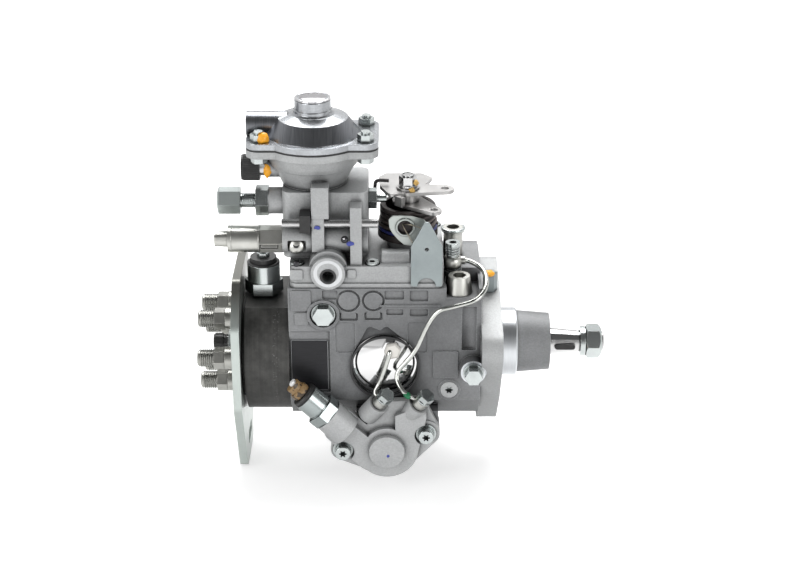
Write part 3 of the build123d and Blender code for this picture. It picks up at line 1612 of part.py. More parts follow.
# Diaphragm clamped between the flanges, with its flat middle held by the plunger's plates
diaphragm_flat = bowl_top + 5.8
with BuildPart() as boost_diaphragm:
    with BuildSketch(Plane.XY.offset(bowl_top)):
        with Locations((boost_x, 0)):
            with GridLocations(2 * boost_ear_x, 2 * boost_ear_y, 2, 2):
                Circle(boost_ear_radius - 0.4)
        make_hull()
        with Locations((boost_x, 0)):
            Circle(boost_flange_radius - 0.4)
            Circle(boost_bowl_radius - 1, mode=Mode.SUBTRACT)
            with GridLocations(2 * boost_ear_x, 2 * boost_ear_y, 2, 2):
                Circle(3.2, mode=Mode.SUBTRACT)
    extrude(amount=diaphragm_thickness)
    with BuildSketch(Plane.XZ):
        with BuildLine():
            Polyline(
                (boost_x + boost_bowl_radius - 0.5, bowl_top),
                (boost_x + boost_bowl_radius - 0.5, bowl_top + diaphragm_thickness),
                (boost_x + 21.5, diaphragm_flat + diaphragm_thickness),
                (boost_x + boost_pin_radius + 0.1, diaphragm_flat + diaphragm_thickness),
                (boost_x + boost_pin_radius + 0.1, diaphragm_flat),
                (boost_x + 21, diaphragm_flat),
                (boost_x + boost_bowl_radius - 1, bowl_top),
                close=True,
            )
        make_face()
    revolve(axis=boost_axis)
boost_diaphragm.part.label = "boost_diaphragm"
export_step(boost_diaphragm.part, "parts/boost_diaphragm.step")

# Plunger under the diaphragm with its two plates, and the spring that lifts it
seat_plate = 2.0
seat_plate_bottom = diaphragm_flat - seat_gap - seat_plate
with BuildPart() as boost_plunger:
    with BuildSketch(Plane.XZ):
        with BuildLine():
            Polyline(
                (boost_x, cover_deck + 6),
                (boost_x + boost_pin_radius - 1, cover_deck + 6),
                (boost_x + boost_pin_radius, cover_deck + 9),
                (boost_x + boost_pin_radius, seat_plate_bottom),
                (boost_x + 20, seat_plate_bottom),
                (boost_x + 20, seat_plate_bottom + seat_plate),
                (boost_x + boost_pin_radius, seat_plate_bottom + seat_plate),
                (boost_x + boost_pin_radius, diaphragm_flat + diaphragm_thickness + seat_gap),
                (boost_x + 20, diaphragm_flat + diaphragm_thickness + seat_gap),
                (boost_x + 20, diaphragm_flat + diaphragm_thickness + seat_plate),
                (boost_x + 6, diaphragm_flat + diaphragm_thickness + seat_plate),
                (boost_x + 6, cone_top - 2),
                (boost_x, cone_top - 2),
                close=True,
            )
        make_face()
    revolve(axis=boost_axis)
boost_plunger.part.label = "boost_plunger"
export_step(boost_plunger.part, "parts/boost_plunger.step")

boost_spring_plane = Plane(origin=(boost_x, 0, 0), x_dir=(0, 0, 1), z_dir=(0, 1, 0))
boost_spring_length = seat_plate_bottom - bowl_spring_seat - seat_gap
with BuildPart() as boost_spring:
    add(coil_stack(boost_spring_plane, boost_axis, bowl_spring_seat, boost_spring_length, 12.0, 2.5, 6))
boost_spring.part.label = "boost_spring"
export_step(boost_spring.part, "parts/boost_spring.step")

# Upright shaft of the control lever, with the crank inside the cover
crank_top = cover_ceiling - 2.0
crank_bottom = crank_top - 2.5
spring_cup_top = tower_top + 5.0
lever_low = 109.5
lever_hub_foot = lever_low + 2.5
lever_hub_top = 122.0
lever_stud_radius = 4.0
with BuildPart() as lever_shaft:
    with BuildSketch(Plane.XY.offset(crank_bottom)):
        with Locations((lever_x, 0)):
            Circle(lever_shaft_radius)
    extrude(amount=lever_hub_foot - crank_bottom)
    with BuildSketch(Plane.XY.offset(lever_hub_foot)):
        with Locations((lever_x, 0)):
            Circle(lever_stud_radius)
    extrude(amount=lever_top - lever_hub_foot)
    with BuildSketch(Plane.XY.offset(crank_bottom)):
        with Locations((lever_x, 0)):
            Circle(8)
        with Locations((lever_x - crank_reach, 0)):
            Circle(4)
        make_hull()
    extrude(amount=crank_top - crank_bottom)
    with BuildSketch(Plane.XY.offset(crank_bottom)):
        with Locations((lever_x - crank_reach, 0)):
            Circle(2)
    extrude(amount=crank_pin_bottom - crank_bottom)
    # washer and nut on the upper end
    with BuildSketch(Plane.XY.offset(lever_hub_top)):
        with Locations((lever_x, 0)):
            Circle(6.5)
    extrude(amount=2)
    with BuildSketch(Plane.XY.offset(lever_hub_top + 2)):
        with Locations((lever_x, 0)):
            RegularPolygon(5.5, 6, major_radius=False)
    extrude(amount=6)
lever_shaft.part.label = "lever_shaft"
export_step(lever_shaft.part, "parts/lever_shaft.step")

# Control lever: two plates on one hub, eyes for the linkage, and the tab that meets the stop screw
lever_swing = 45.0
lever_plate_thickness = 2.5
low_eye = (-48.7, -20.0)
high_eye = (-40.6, 0.0)
lever_high = 118.0
stop_screw_y = -5.0
stop_screw_z = 115.0
stop_screw_tip = -82.0
swung_x = (math.cos(math.radians(lever_swing)), math.sin(math.radians(lever_swing)), 0)
with BuildPart() as control_lever:
    with BuildSketch(Plane.XY.offset(lever_low)):
        with Locations((lever_x, 0)):
            Circle(11)
        with Locations(low_eye):
            Circle(5.5)
        make_hull()
        with Locations(low_eye):
            Circle(2.6, mode=Mode.SUBTRACT)
    extrude(amount=lever_plate_thickness)
    with BuildSketch(Plane.XY.offset(lever_low)):
        with Locations((lever_x, 0)):
            Circle(8)
    extrude(amount=lever_hub_top - lever_low)
    with BuildSketch(Plane.XY.offset(lever_high)):
        with Locations((lever_x, 0)):
            Circle(10)
        with Locations(high_eye):
            Circle(6.5)
        make_hull()
        with Locations(high_eye):
            Circle(2.8, mode=Mode.SUBTRACT)
    extrude(amount=lever_plate_thickness)
    with BuildSketch(Plane.XY.offset(lever_high)) as stop_plate:
        with BuildLine():
            Polyline(
                (lever_x + 8, -5),
                (lever_x - 13, -12),
                (lever_x - 20, 5),
                (lever_x - 21, 23),
                (lever_x - 16, 31),
                (lever_x + 10, 31),
                (lever_x + 18, 22),
                close=True,
            )
        make_face()
        fillet(stop_plate.vertices(), 3)
    extrude(amount=lever_plate_thickness)
    with BuildSketch(Plane(origin=(lever_x, 0, lever_hub_foot), x_dir=swung_x, z_dir=(0, 0, 1))):
        with Locations(((stop_screw_tip + free_gap + 1.5 - lever_x), stop_screw_y)):
            Rectangle(3, 7)
        with Locations(((stop_screw_tip + free_gap + 3 - lever_x) / 2, stop_screw_y / 2)):
            Rectangle(lever_x - stop_screw_tip - 3, 4)
    extrude(amount=lever_high - lever_hub_foot + 1)
    with BuildSketch(Plane.XY.offset(lever_low)):
        with Locations((lever_x, 0)):
            Circle(lever_shaft_radius + shaft_gap)
    extrude(amount=lever_plate_thickness, mode=Mode.SUBTRACT)
    with BuildSketch(Plane.XY.offset(lever_hub_foot)):
        with Locations((lever_x, 0)):
            Circle(lever_stud_radius + shaft_gap)
    extrude(amount=lever_hub_top - lever_hub_foot, mode=Mode.SUBTRACT)
control_lever.part.label = "control_lever"
export_step(control_lever.part, "parts/control_lever.step")

# Return spring round the lever shaft, in a cup on the tower
spring_cup_radius = 21.5
lever_spring_plane = Plane(origin=(lever_x, 0, 0), x_dir=(0, 0, 1), z_dir=(0, 1, 0))
lever_spring_length = lever_low - spring_cup_top - 0.5
with BuildPart() as lever_spring:
    add(coil_stack(
        lever_spring_plane,
        Axis((lever_x, 0, 0), (0, 0, 1)),
        spring_cup_top,
        lever_spring_length,
        18.0,
        4.0,
        5,
    ))
    with BuildSketch(Plane.XY.offset(tower_top)):
        with Locations((lever_x, 0)):
            Circle(spring_cup_radius)
            Circle(lever_shaft_radius + free_gap, mode=Mode.SUBTRACT)
    extrude(amount=spring_cup_top - tower_top)
    with BuildSketch(Plane.XZ.offset(17)):
        with Locations((lever_x, spring_cup_top + 9)):
            Circle(8)
    extrude(amount=5.5)
lever_spring.part.label = "lever_spring"
export_step(lever_spring.part, "parts/lever_spring.step")

# Steel bracket on the near side of the cover, pointed at the top
bracket_thickness = 2.0
bracket_x = lever_x + 13.0
bracket_half = 11.0
bracket_foot = cover_joint + 2.0
bracket_shoulder = cover_deck + 16.0
bracket_tip = cover_deck + 34.0
with BuildPart() as lever_bracket:
    with BuildSketch(Plane.XZ.offset(cover_half_width + cover_rim)) as bracket_outline:
        with BuildLine():
            Polyline(
                (bracket_x - bracket_half, bracket_foot),
                (bracket_x - bracket_half, bracket_shoulder),
                (bracket_x - 1.5, bracket_tip),
                (bracket_x + 1.5, bracket_tip),
                (bracket_x + bracket_half, bracket_shoulder),
                (bracket_x + bracket_half, bracket_foot),
                close=True,
            )
        make_face()
        fillet(bracket_outline.vertices(), 1.4)
        with Locations((bracket_x, bracket_shoulder - 2)):
            Circle(1.5, mode=Mode.SUBTRACT)
        with Locations((bracket_x, bracket_foot)):
            Circle(6.5, mode=Mode.SUBTRACT)
    extrude(amount=bracket_thickness)
lever_bracket.part.label = "lever_bracket"
export_step(lever_bracket.part, "parts/lever_bracket.step")

# Stop of the boost travel: cap nut, thread and lock nut on the far left of the cover
stop_face = pedestal_left - 10
with BuildPart() as travel_stop:
    with BuildSketch(Plane.YZ.offset(stop_face)):
        with Locations((travel_stop_y, travel_stop_z)):
            RegularPolygon(9.5, 6, major_radius=False)
    extrude(amount=-9)
    with BuildSketch(Plane.YZ.offset(stop_face + 12)):
        with Locations((travel_stop_y, travel_stop_z)):
            Circle(5)
    extrude(amount=-32)
    with BuildSketch(Plane.YZ.offset(stop_face - 20)):
        with Locations((travel_stop_y, travel_stop_z)):
            RegularPolygon(8.25, 6, major_radius=False)
    extrude(amount=-10)
    with BuildSketch(Plane.YZ.offset(stop_face - 30)):
        with Locations((travel_stop_y, travel_stop_z)):
            Circle(7.6)
    extrude(amount=-6, taper=18)
travel_stop.part.label = "travel_stop"
export_step(travel_stop.part, "parts/travel_stop.step")

# Full-load screw inside its tamper sleeve
with BuildPart() as full_load_screw:
    with BuildSketch(Plane.YZ.offset(pedestal_left)):
        with Locations((full_load_y, full_load_z)):
            RegularPolygon(8.5, 6, major_radius=False)
    extrude(amount=-17)
    with BuildSketch(Plane.YZ.offset(pedestal_left - 17)):
        with Locations((full_load_y, full_load_z)):
            Circle(9.5)
    extrude(amount=-21.5)
    with BuildSketch(Plane.YZ.offset(pedestal_left - 38.5)):
        with Locations((full_load_y, full_load_z)):
            Circle(5.9)
    extrude(amount=-9.5, taper=4)
    with BuildSketch(Plane.YZ.offset(pedestal_left)):
        with Locations((full_load_y, full_load_z)):
            Circle(4)
    extrude(amount=20)
full_load_screw.part.label = "full_load_screw"
export_step(full_load_screw.part, "parts/full_load_screw.step")

# Stop screw that limits the control lever
with BuildPart() as stop_screw:
    with BuildSketch(Plane.YZ.offset(pedestal_right)):
        with Locations((stop_screw_y, stop_screw_z)):
            RegularPolygon(6.5, 6, major_radius=False)
    extrude(amount=6)
    with BuildSketch(Plane.YZ.offset(pedestal_right)):
        with Locations((stop_screw_y, stop_screw_z)):
            Circle(3)
    extrude(amount=stop_screw_tip - pedestal_right)
stop_screw.part.label = "stop_screw"
export_step(stop_screw.part, "parts/stop_screw.step")

# Vent of the bowl: collar and knurled cap
with BuildPart() as vent_cap:
    with BuildSketch(Plane.YZ.offset(vent_face)):
        with Locations((vent_y, vent_z)):
            Circle(6.2)
    extrude(amount=-4.6)
    with BuildSketch(Plane.YZ.offset(vent_face - 4.6)):
        with Locations((vent_y, vent_z)):
            Circle(9)
    extrude(amount=-13)
    with BuildSketch(Plane.YZ.offset(vent_face)):
        with Locations((vent_y, vent_z)):
            Circle(3.4)
    extrude(amount=8)
vent_cap.part.label = "vent_cap"
export_step(vent_cap.part, "parts/vent_cap.step")

# Cross rod on the near side of the pedestal, with its black guide block
with BuildPart() as cross_rod:
    with BuildSketch(Plane.YZ.offset(pedestal_left)):
        with Locations((rod_y, rod_z)):
            Circle(rod_radius)
    extrude(amount=pedestal_right - pedestal_left + 7)
    with BuildSketch(Plane.YZ.offset(boost_x - 8.9)):
        with Locations((rod_y - 0.5, rod_z + 1.5)):
            Rectangle(12, 13)
    extrude(amount=7.6)
cross_rod.part.label = "cross_rod"
export_step(cross_rod.part, "parts/cross_rod.step")

# Near timing cover: disc over the bore, ears, arm of the solenoid and seats of the two banjos
disc_x = -82.0
disc_z = -57.5
disc_radius = 22.5
solenoid_axis = (-0.72, 0, 0.694)
solenoid_seat = Plane(
    origin=(timing_arm_x, timing_arm_y, timing_arm_z), x_dir=(0, 1, 0), z_dir=solenoid_axis
).offset(timing_arm_radius + 0.2)
with BuildPart() as timing_cover:
    with BuildSketch(Plane.XZ.offset(timing_boss_half)):
        with Locations((disc_x, disc_z)):
            Circle(disc_radius)
        for x, z, radius in timing_ears:
            with Locations((x, z)):
                Circle(radius)
        make_hull()
    extrude(amount=timing_ear_face)
    with BuildSketch(Plane.XZ.offset(timing_boss_half)):
        with Locations((disc_x, disc_z)):
            Circle(disc_radius)
    extrude(amount=timing_cover_thickness)
    with BuildSketch(Plane.XZ.offset(timing_boss_half + timing_cover_thickness)):
        with Locations((disc_x, disc_z)):
            Circle(12.7)
    extrude(amount=5)
    with BuildSketch(Plane.XZ.offset(timing_boss_half)):
        with Locations((timing_arm_x, timing_arm_z)):
            Circle(timing_arm_radius)
        with Locations((disc_x - 10, disc_z - 5)):
            Circle(13)
        make_hull()
    extrude(amount=timing_cover_thickness)
    # pocket between the two arms, open towards the disc
    with BuildSketch(Plane.XZ.offset(timing_boss_half + timing_cover_thickness)):
        with BuildLine():
            Polyline(
                (-112, -33),
                (-91, -51.5),
                (-79.5, -50.5),
                (-75.5, -41.5),
                (-75.5, -20),
                (-112, -20),
                close=True,
            )
        make_face()
        with Locations((disc_x, disc_z)):
            Circle(17, mode=Mode.SUBTRACT)
    extrude(amount=-5, mode=Mode.SUBTRACT)
    with BuildSketch(Plane.XZ.offset(timing_boss_half)):
        with Locations((disc_x + 4, disc_z + 10)):
            Circle(12)
        with Locations((banjo_places[0][0] - 4, banjo_places[0][2] - 12)):
            Circle(9)
        with Locations((banjo_places[1][0] - 3, banjo_places[1][2] - 10)):
            Circle(9)
        with Locations((timing_ears[1][0], timing_ears[1][1])):
            Circle(timing_ears[1][2])
        make_hull()
    extrude(amount=timing_cover_thickness - 5)
    with BuildSketch(Plane.XZ.offset(timing_boss_half)):
        with Locations((disc_x, disc_z)):
            Circle(disc_radius)
        with Locations((banjo_places[1][0] - 3, banjo_places[1][2] - 12)):
            Circle(7)
        make_hull()
        with Locations((disc_x, disc_z)):
            Circle(disc_radius - 5, mode=Mode.SUBTRACT)
        with Locations((disc_x - 12, disc_z + 24)):
            Rectangle(36, 34, mode=Mode.SUBTRACT)
    extrude(amount=timing_cover_thickness)
    for place in banjo_places:
        seat = Plane(origin=place, x_dir=(0, 1, 0.52), z_dir=banjo_axis)
        with BuildSketch(seat.offset(-banjo_half)):
            Circle(7.5)
        extrude(amount=-16)
    with BuildSketch(solenoid_seat):
        Circle(timing_arm_radius - 1)
    extrude(amount=-18)
    with BuildSketch(Plane.XZ.offset(timing_boss_half)):
        Rectangle(400, 400)
    extrude(amount=-40, mode=Mode.SUBTRACT)
    for place in banjo_places:
        seat = Plane(origin=place, x_dir=(0, 1, 0.52), z_dir=banjo_axis)
        with BuildSketch(seat.offset(-banjo_half)):
            Circle(banjo_screw_radius + 0.1)
        extrude(amount=-11, mode=Mode.SUBTRACT)
    for place in banjo_places:
        seat = Plane(origin=place, x_dir=(0, 1, 0.52), z_dir=banjo_axis)
        with BuildSketch(seat.offset(-banjo_half)):
            Circle(7.6)
        extrude(amount=16, mode=Mode.SUBTRACT)
    with BuildSketch(solenoid_seat):
        Circle(7.1)
    extrude(amount=-12, mode=Mode.SUBTRACT)
    with BuildSketch(solenoid_seat):
        Circle(14)
    extrude(amount=12, mode=Mode.SUBTRACT)
    with BuildSketch(Plane.XZ.offset(timing_boss_half)):
        for x, z, radius in timing_ears:
            with Locations((x, z)):
                Circle(timing_bolt_radius + seat_gap)
    extrude(amount=timing_ear_face, mode=Mode.SUBTRACT)
    with BuildSketch(Plane.XZ.offset(timing_boss_half + timing_ear_face)):
        for x, z, radius in timing_ears:
            with Locations((x, z)):
                Circle(8.2)
    extrude(amount=20, mode=Mode.SUBTRACT)
timing_cover.part.label = "timing_cover"
export_step(timing_cover.part, "parts/timing_cover.step")

# Far timing cover, timing piston and the spring behind it
with BuildPart() as timing_cover_far:
    with BuildSketch(Plane.XZ.offset(-timing_boss_half)):
        with Locations((timing_x, timing_z)):
            Circle(timing_boss_radius)
        for x, z, radius in timing_ears:
            with Locations((x, z)):
                Circle(radius)
        make_hull()
        for x, z, radius in timing_ears:
            with Locations((x, z)):
                Circle(timing_bolt_radius + seat_gap, mode=Mode.SUBTRACT)
    extrude(amount=-timing_far_thickness)
timing_cover_far.part.label = "timing_cover_far"
export_step(timing_cover_far.part, "parts/timing_cover_far.step")

piston_front = -30.0
piston_back = piston_front + timing_piston_length
piston_gap = 0.05
with BuildPart() as timing_piston:
    with BuildSketch(Plane.XZ.offset(-piston_back)):
        with Locations((timing_x, timing_z)):
            Circle(timing_bore_radius - piston_gap)
    extrude(amount=timing_piston_length)
    with BuildSketch(Plane.XY.offset(timing_z + timing_bore_radius)):
        with Locations((timing_x, 0)):
            SlotOverall(16, 15)
    extrude(amount=-timing_bore_radius - 6, mode=Mode.SUBTRACT)
timing_piston.part.label = "timing_piston"
export_step(timing_piston.part, "parts/timing_piston.step")

timing_spring_length = 17.0
timing_spring_plane = Plane(origin=(timing_x, 0, timing_z), x_dir=(0, 1, 0), z_dir=(1, 0, 0))
with BuildPart() as timing_spring:
    add(coil_stack(
        timing_spring_plane,
        Axis((timing_x, 0, timing_z), (0, 1, 0)),
        timing_boss_half - timing_spring_length,
        timing_spring_length,
        9.0,
        2.2,
        6,
    ))
timing_spring.part.label = "timing_spring"
export_step(timing_spring.part, "parts/timing_spring.step")

# Timing solenoid on the arm of the near cover
with BuildPart() as timing_solenoid:
    with BuildSketch(solenoid_seat.offset(-10)):
        Circle(7)
    extrude(amount=10)
    with BuildSketch(solenoid_seat):
        RegularPolygon(11, 6, major_radius=False)
    extrude(amount=8)
    with BuildSketch(solenoid_seat.offset(8)):
        Circle(10)
    extrude(amount=14)
    with BuildSketch(solenoid_seat.offset(22)):
        Circle(8.4)
    extrude(amount=3)
    with BuildSketch(solenoid_seat.offset(25)):
        Circle(5.4)
    extrude(amount=10)
timing_solenoid.part.label = "timing_solenoid"
export_step(timing_solenoid.part, "parts/timing_solenoid.step")

# Two steel leak pipes with their banjo rings
pipe_radius = 1.75
pipe_bend = 3.0
overflow_seat = deck_top + 1.5
overflow_banjo = 8.5
near_face = -body_half_width
upper_path = (
    (overflow_x + 5, overflow_y, overflow_seat + 5),
    (-24.0, overflow_y - 1, 73.5),
    (-13.0, -26.0, 69.5),
    (-12.0, near_face + 2, 64.2),
    (-18.0, near_face - 8.5, 57.8),
    (-36.0, near_face - 8.5, 51.6),
    (-45.6, near_face - 8, 49.3),
    (-52.5, near_face - 7.5, 39.0),
    (-62.0, near_face - 7.5, 15.9),
    (-76.5, near_face - 8, -1.0),
    (-71.3, near_face - 15, -11.6),
    (-60.8, banjo_y + 0.2, -17.5),
)
with BuildPart() as leak_pipe_upper:
    with BuildLine() as upper_line:
        FilletPolyline(*upper_path, radius=pipe_bend)
    with BuildSketch(upper_line.wire() ^ 0):
        Circle(pipe_radius)
    sweep(path=upper_line.wire())
    with BuildSketch(Plane.XY.offset(overflow_seat)):
        with Locations((overflow_x, overflow_y)):
            Circle(overflow_radius)
    extrude(amount=overflow_banjo)
    with BuildSketch(Plane(origin=banjo_places[1], x_dir=(0, 1, 0.52), z_dir=banjo_axis).offset(-banjo_half)):
        Circle(banjo_radius)
    extrude(amount=2 * banjo_half)
    with BuildSketch(Plane.XY.offset(overflow_seat)):
        with Locations((overflow_x, overflow_y)):
            Circle(overflow_screw_radius + seat_gap)
    extrude(amount=overflow_banjo, mode=Mode.SUBTRACT)
    with BuildSketch(Plane(origin=banjo_places[1], x_dir=(0, 1, 0.52), z_dir=banjo_axis).offset(-banjo_half)):
        Circle(banjo_screw_radius + seat_gap)
    extrude(amount=2 * banjo_half, mode=Mode.SUBTRACT)
leak_pipe_upper.part.label = "leak_pipe_upper"
export_step(leak_pipe_upper.part, "parts/leak_pipe_upper.step")

lower_path = (
    (-79.7, near_face - 7.2, 17.7),
    (-79.9, near_face - 10.5, 17.0),
    (-83.5, near_face - 10, 3.7),
    (-87.6, near_face - 10, -8.2),
    (-90.9, near_face - 12.2, -13.4),
    (-88.3, banjo_y + 1.7, -16.2),
)
with BuildPart() as leak_pipe_lower:
    with BuildLine() as lower_line:
        FilletPolyline(*lower_path, radius=pipe_bend)
    with BuildSketch(lower_line.wire() ^ 0):
        Circle(pipe_radius)
    sweep(path=lower_line.wire())
    with BuildSketch(Plane(origin=banjo_places[0], x_dir=(0, 1, 0.52), z_dir=banjo_axis).offset(-banjo_half)):
        Circle(banjo_radius)
    extrude(amount=2 * banjo_half)
    with BuildSketch(Plane(origin=banjo_places[0], x_dir=(0, 1, 0.52), z_dir=banjo_axis).offset(-banjo_half)):
        Circle(banjo_screw_radius + seat_gap)
    extrude(amount=2 * banjo_half, mode=Mode.SUBTRACT)
leak_pipe_lower.part.label = "leak_pipe_lower"
export_step(leak_pipe_lower.part, "parts/leak_pipe_lower.step")

# Banjo screws of the two pipes, and the hollow overflow screw
with BuildPart() as banjo_screws:
    for place in banjo_places:
        seat = Plane(origin=place, x_dir=(0, 1, 0.52), z_dir=banjo_axis)
        with BuildSketch(seat.offset(-banjo_half - 9)):
            Circle(banjo_screw_radius)
        extrude(amount=2 * banjo_half + 9)
        with BuildSketch(seat.offset(banjo_half)):
            Circle(5.6)
        extrude(amount=1.4)
        with BuildSketch(seat.offset(banjo_half + 1.4)):
            RegularPolygon(5, 6, major_radius=False)
        extrude(amount=4.6)
banjo_screws.part.label = "banjo_screws"
export_step(banjo_screws.part, "parts/banjo_screws.step")

overflow_head = overflow_seat + overflow_banjo
with BuildPart() as overflow_screw:
    with BuildSketch(Plane.XY.offset(deck_top - 10)):
        with Locations((overflow_x, overflow_y)):
            Circle(overflow_screw_radius - shaft_gap)
    extrude(amount=overflow_head - deck_top + 10)
    with BuildSketch(Plane.XY.offset(deck_top)):
        with Locations((overflow_x, overflow_y)):
            Circle(overflow_radius - 0.6)
    extrude(amount=overflow_seat - deck_top)
    with BuildSketch(Plane.XY.offset(overflow_head)):
        with Locations((overflow_x, overflow_y)):
            Circle(4.6)
    extrude(amount=overflow_top - overflow_head)
    with BuildSketch(Plane.XY.offset(overflow_top - 2.4)):
        with Locations((overflow_x, overflow_y)):
            Circle(5.3)
    extrude(amount=2.4)
    with BuildSketch(Plane.XY.offset(overflow_top)):
        with Locations((overflow_x, overflow_y)):
            Circle(2.6)
    extrude(amount=-20, mode=Mode.SUBTRACT)
overflow_screw.part.label = "overflow_screw"
export_step(overflow_screw.part, "parts/overflow_screw.step")

# Fuel inlet union on the deck
with BuildPart() as inlet_union:
    with BuildSketch(Plane.XY.offset(deck_top - 12)):
        with Locations((inlet_x, inlet_y)):
            Circle(inlet_radius - 1 - shaft_gap)
    extrude(amount=12)
    with BuildSketch(Plane.XY.offset(deck_top)):
        with Locations((inlet_x, inlet_y)):
            Circle(inlet_radius)
    extrude(amount=inlet_top - deck_top)
    with BuildSketch(Plane.XY.offset(inlet_top - 3)):
        with Locations((inlet_x, inlet_y)):
            Circle(inlet_radius + 1.3)
    extrude(amount=3)
    with BuildSketch(Plane.XY.offset(inlet_top)):
        with Locations((inlet_x, inlet_y)):
            Circle(inlet_bore)
    extrude(amount=deck_top - 12 - inlet_top, mode=Mode.SUBTRACT)
inlet_union.part.label = "inlet_union"
export_step(inlet_union.part, "parts/inlet_union.step")

# Pressure valve in the pocket
with BuildPart() as regulator_valve:
    with BuildSketch(Plane.XY.offset(pocket_floor)):
        with Locations((regulator_x, regulator_y)):
            Circle(regulator_radius)
    extrude(amount=regulator_top - pocket_floor, taper=9)
    with BuildSketch(Plane.XY.offset(pocket_floor)):
        with Locations((regulator_x, regulator_y)):
            Circle(regulator_thread_radius - shaft_gap)
    extrude(amount=-15)
    with BuildSketch(Plane.XY.offset(regulator_top)):
        with Locations((regulator_x, regulator_y)):
            RegularPolygon(4.4, 6, major_radius=False)
    extrude(amount=-5, mode=Mode.SUBTRACT)
regulator_valve.part.label = "regulator_valve"
export_step(regulator_valve.part, "parts/regulator_valve.step")

# Domed steel cover of the window, with the union of the lower pipe
window_rim = body_half_width - window_depth
dome_radius = window_radius - 1.5
dome_crown = window_depth + 0.6
with BuildPart() as window_cover:
    with BuildSketch(Plane(origin=(window_x, -window_rim, window_z), x_dir=(1, 0, 0), z_dir=(0, 0, 1))):
        with BuildLine():
            Polyline((0, 0), (dome_radius, 0), (dome_radius, -1.2))
            ThreePointArc((dome_radius, -1.2), (dome_radius * 0.55, -dome_crown * 0.8), (0, -dome_crown))
            Line((0, -dome_crown), (0, 0))
        make_face()
    revolve(axis=Axis((window_x, 0, window_z), (0, 1, 0)))
    union_seat = Plane(origin=(-79.7, -window_rim, 16.5), x_dir=(1, 0, 0), z_dir=(0, -0.9, 0.1))
    with BuildSketch(union_seat.offset(0.8)):
        RegularPolygon(5, 6, major_radius=False)
    extrude(amount=10.2)
window_cover.part.label = "window_cover"
export_step(window_cover.part, "parts/window_cover.step")
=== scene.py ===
import math
import bpy
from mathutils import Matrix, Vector, noise as form_noise
from mathutils.geometry import tessellate_polygon


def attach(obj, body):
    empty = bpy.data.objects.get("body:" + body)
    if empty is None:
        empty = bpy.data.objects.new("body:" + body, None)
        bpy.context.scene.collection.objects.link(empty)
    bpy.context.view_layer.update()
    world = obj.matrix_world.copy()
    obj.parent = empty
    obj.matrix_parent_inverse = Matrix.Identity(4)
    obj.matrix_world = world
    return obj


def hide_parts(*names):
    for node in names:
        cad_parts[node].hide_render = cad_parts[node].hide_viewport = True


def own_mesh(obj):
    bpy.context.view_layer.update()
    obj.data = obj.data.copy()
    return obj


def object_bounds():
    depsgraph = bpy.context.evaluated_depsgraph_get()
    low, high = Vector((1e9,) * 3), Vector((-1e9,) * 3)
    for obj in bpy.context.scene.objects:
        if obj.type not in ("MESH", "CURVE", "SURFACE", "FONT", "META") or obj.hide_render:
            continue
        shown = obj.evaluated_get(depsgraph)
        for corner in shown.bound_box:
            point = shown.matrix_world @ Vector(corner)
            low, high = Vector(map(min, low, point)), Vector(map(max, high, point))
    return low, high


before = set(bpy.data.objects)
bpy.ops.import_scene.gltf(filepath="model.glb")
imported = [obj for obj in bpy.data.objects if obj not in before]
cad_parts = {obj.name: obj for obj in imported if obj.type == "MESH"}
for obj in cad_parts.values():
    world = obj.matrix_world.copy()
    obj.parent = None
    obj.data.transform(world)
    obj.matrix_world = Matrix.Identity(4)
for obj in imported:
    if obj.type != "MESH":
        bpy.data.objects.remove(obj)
cad_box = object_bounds()


# Studio. A pale floor under the pump and a white surround, lit by three large soft lamps. Reflections see a
# dim ceiling and a dim floor at both sides, as in a real studio, so polished steel gets its darker bands.
class Field:
    tree = None

    def __init__(self, socket):
        self.socket = socket

    @classmethod
    def node(cls, kind, settings=None, sockets=None, output=0):
        made = cls.tree.nodes.new("ShaderNode" + kind)
        for key, value in (settings or {}).items():
            if key == "stops":
                for index, (place, colour) in enumerate(value):
                    if index > 1:
                        made.color_ramp.elements.new(place)
                    made.color_ramp.elements[index].position = place
                    made.color_ramp.elements[index].color = colour
            else:
                setattr(made, key, value)
        for key, value in (sockets or {}).items():
            if isinstance(value, Field):
                cls.tree.links.new(value.socket, made.inputs[key])
            else:
                made.inputs[key].default_value = value
        return cls(made.outputs[output])

    def maths(self, operation, other, swapped=False):
        first, second = (other, self) if swapped else (self, other)
        return Field.node("Math", {"operation": operation}, {0: first, 1: second})

    def __add__(self, other):
        return self.maths("ADD", other)

    def __radd__(self, other):
        return self.maths("ADD", other, True)

    def __sub__(self, other):
        return self.maths("SUBTRACT", other)

    def __rsub__(self, other):
        return self.maths("SUBTRACT", other, True)

    def __mul__(self, other):
        return self.maths("MULTIPLY", other)

    def __rmul__(self, other):
        return self.maths("MULTIPLY", other, True)

    def __gt__(self, other):
        return self.maths("GREATER_THAN", other)

    def __lt__(self, other):
        return self.maths("LESS_THAN", other)

    def clamp(self):
        return Field.node("Clamp", {}, {"Value": self})


def start_material(name):
    material = bpy.data.materials.new(name)
    material.use_nodes = True
    Field.tree = material.node_tree
    Field.tree.nodes.clear()
    return material


def end_material(shader):
    made = Field.tree.nodes.new("ShaderNodeOutputMaterial")
    Field.tree.links.new(shader.socket, made.inputs["Surface"])


def rgb(red, green, blue):
    return (red, green, blue, 1.0)


def vector_value(operation, first, second=(0.0, 0.0, 0.0)):
    return Field.node("VectorMath", {"operation": operation}, {0: first, 1: second}, output="Value")


def mapped(value, low, high, start, end, easing="LINEAR"):
    return Field.node(
        "MapRange",
        {"interpolation_type": easing},
        {"Value": value, "From Min": low, "From Max": high, "To Min": start, "To Max": end},
    )


def ray_is(kind):
    return Field.node("LightPath", output=f"Is {kind} Ray")


def seen_directly():
    mirrored_share = 0.72
    return (ray_is("Camera") + ray_is("Glossy") * mirrored_share + ray_is("Transmission")).clamp()


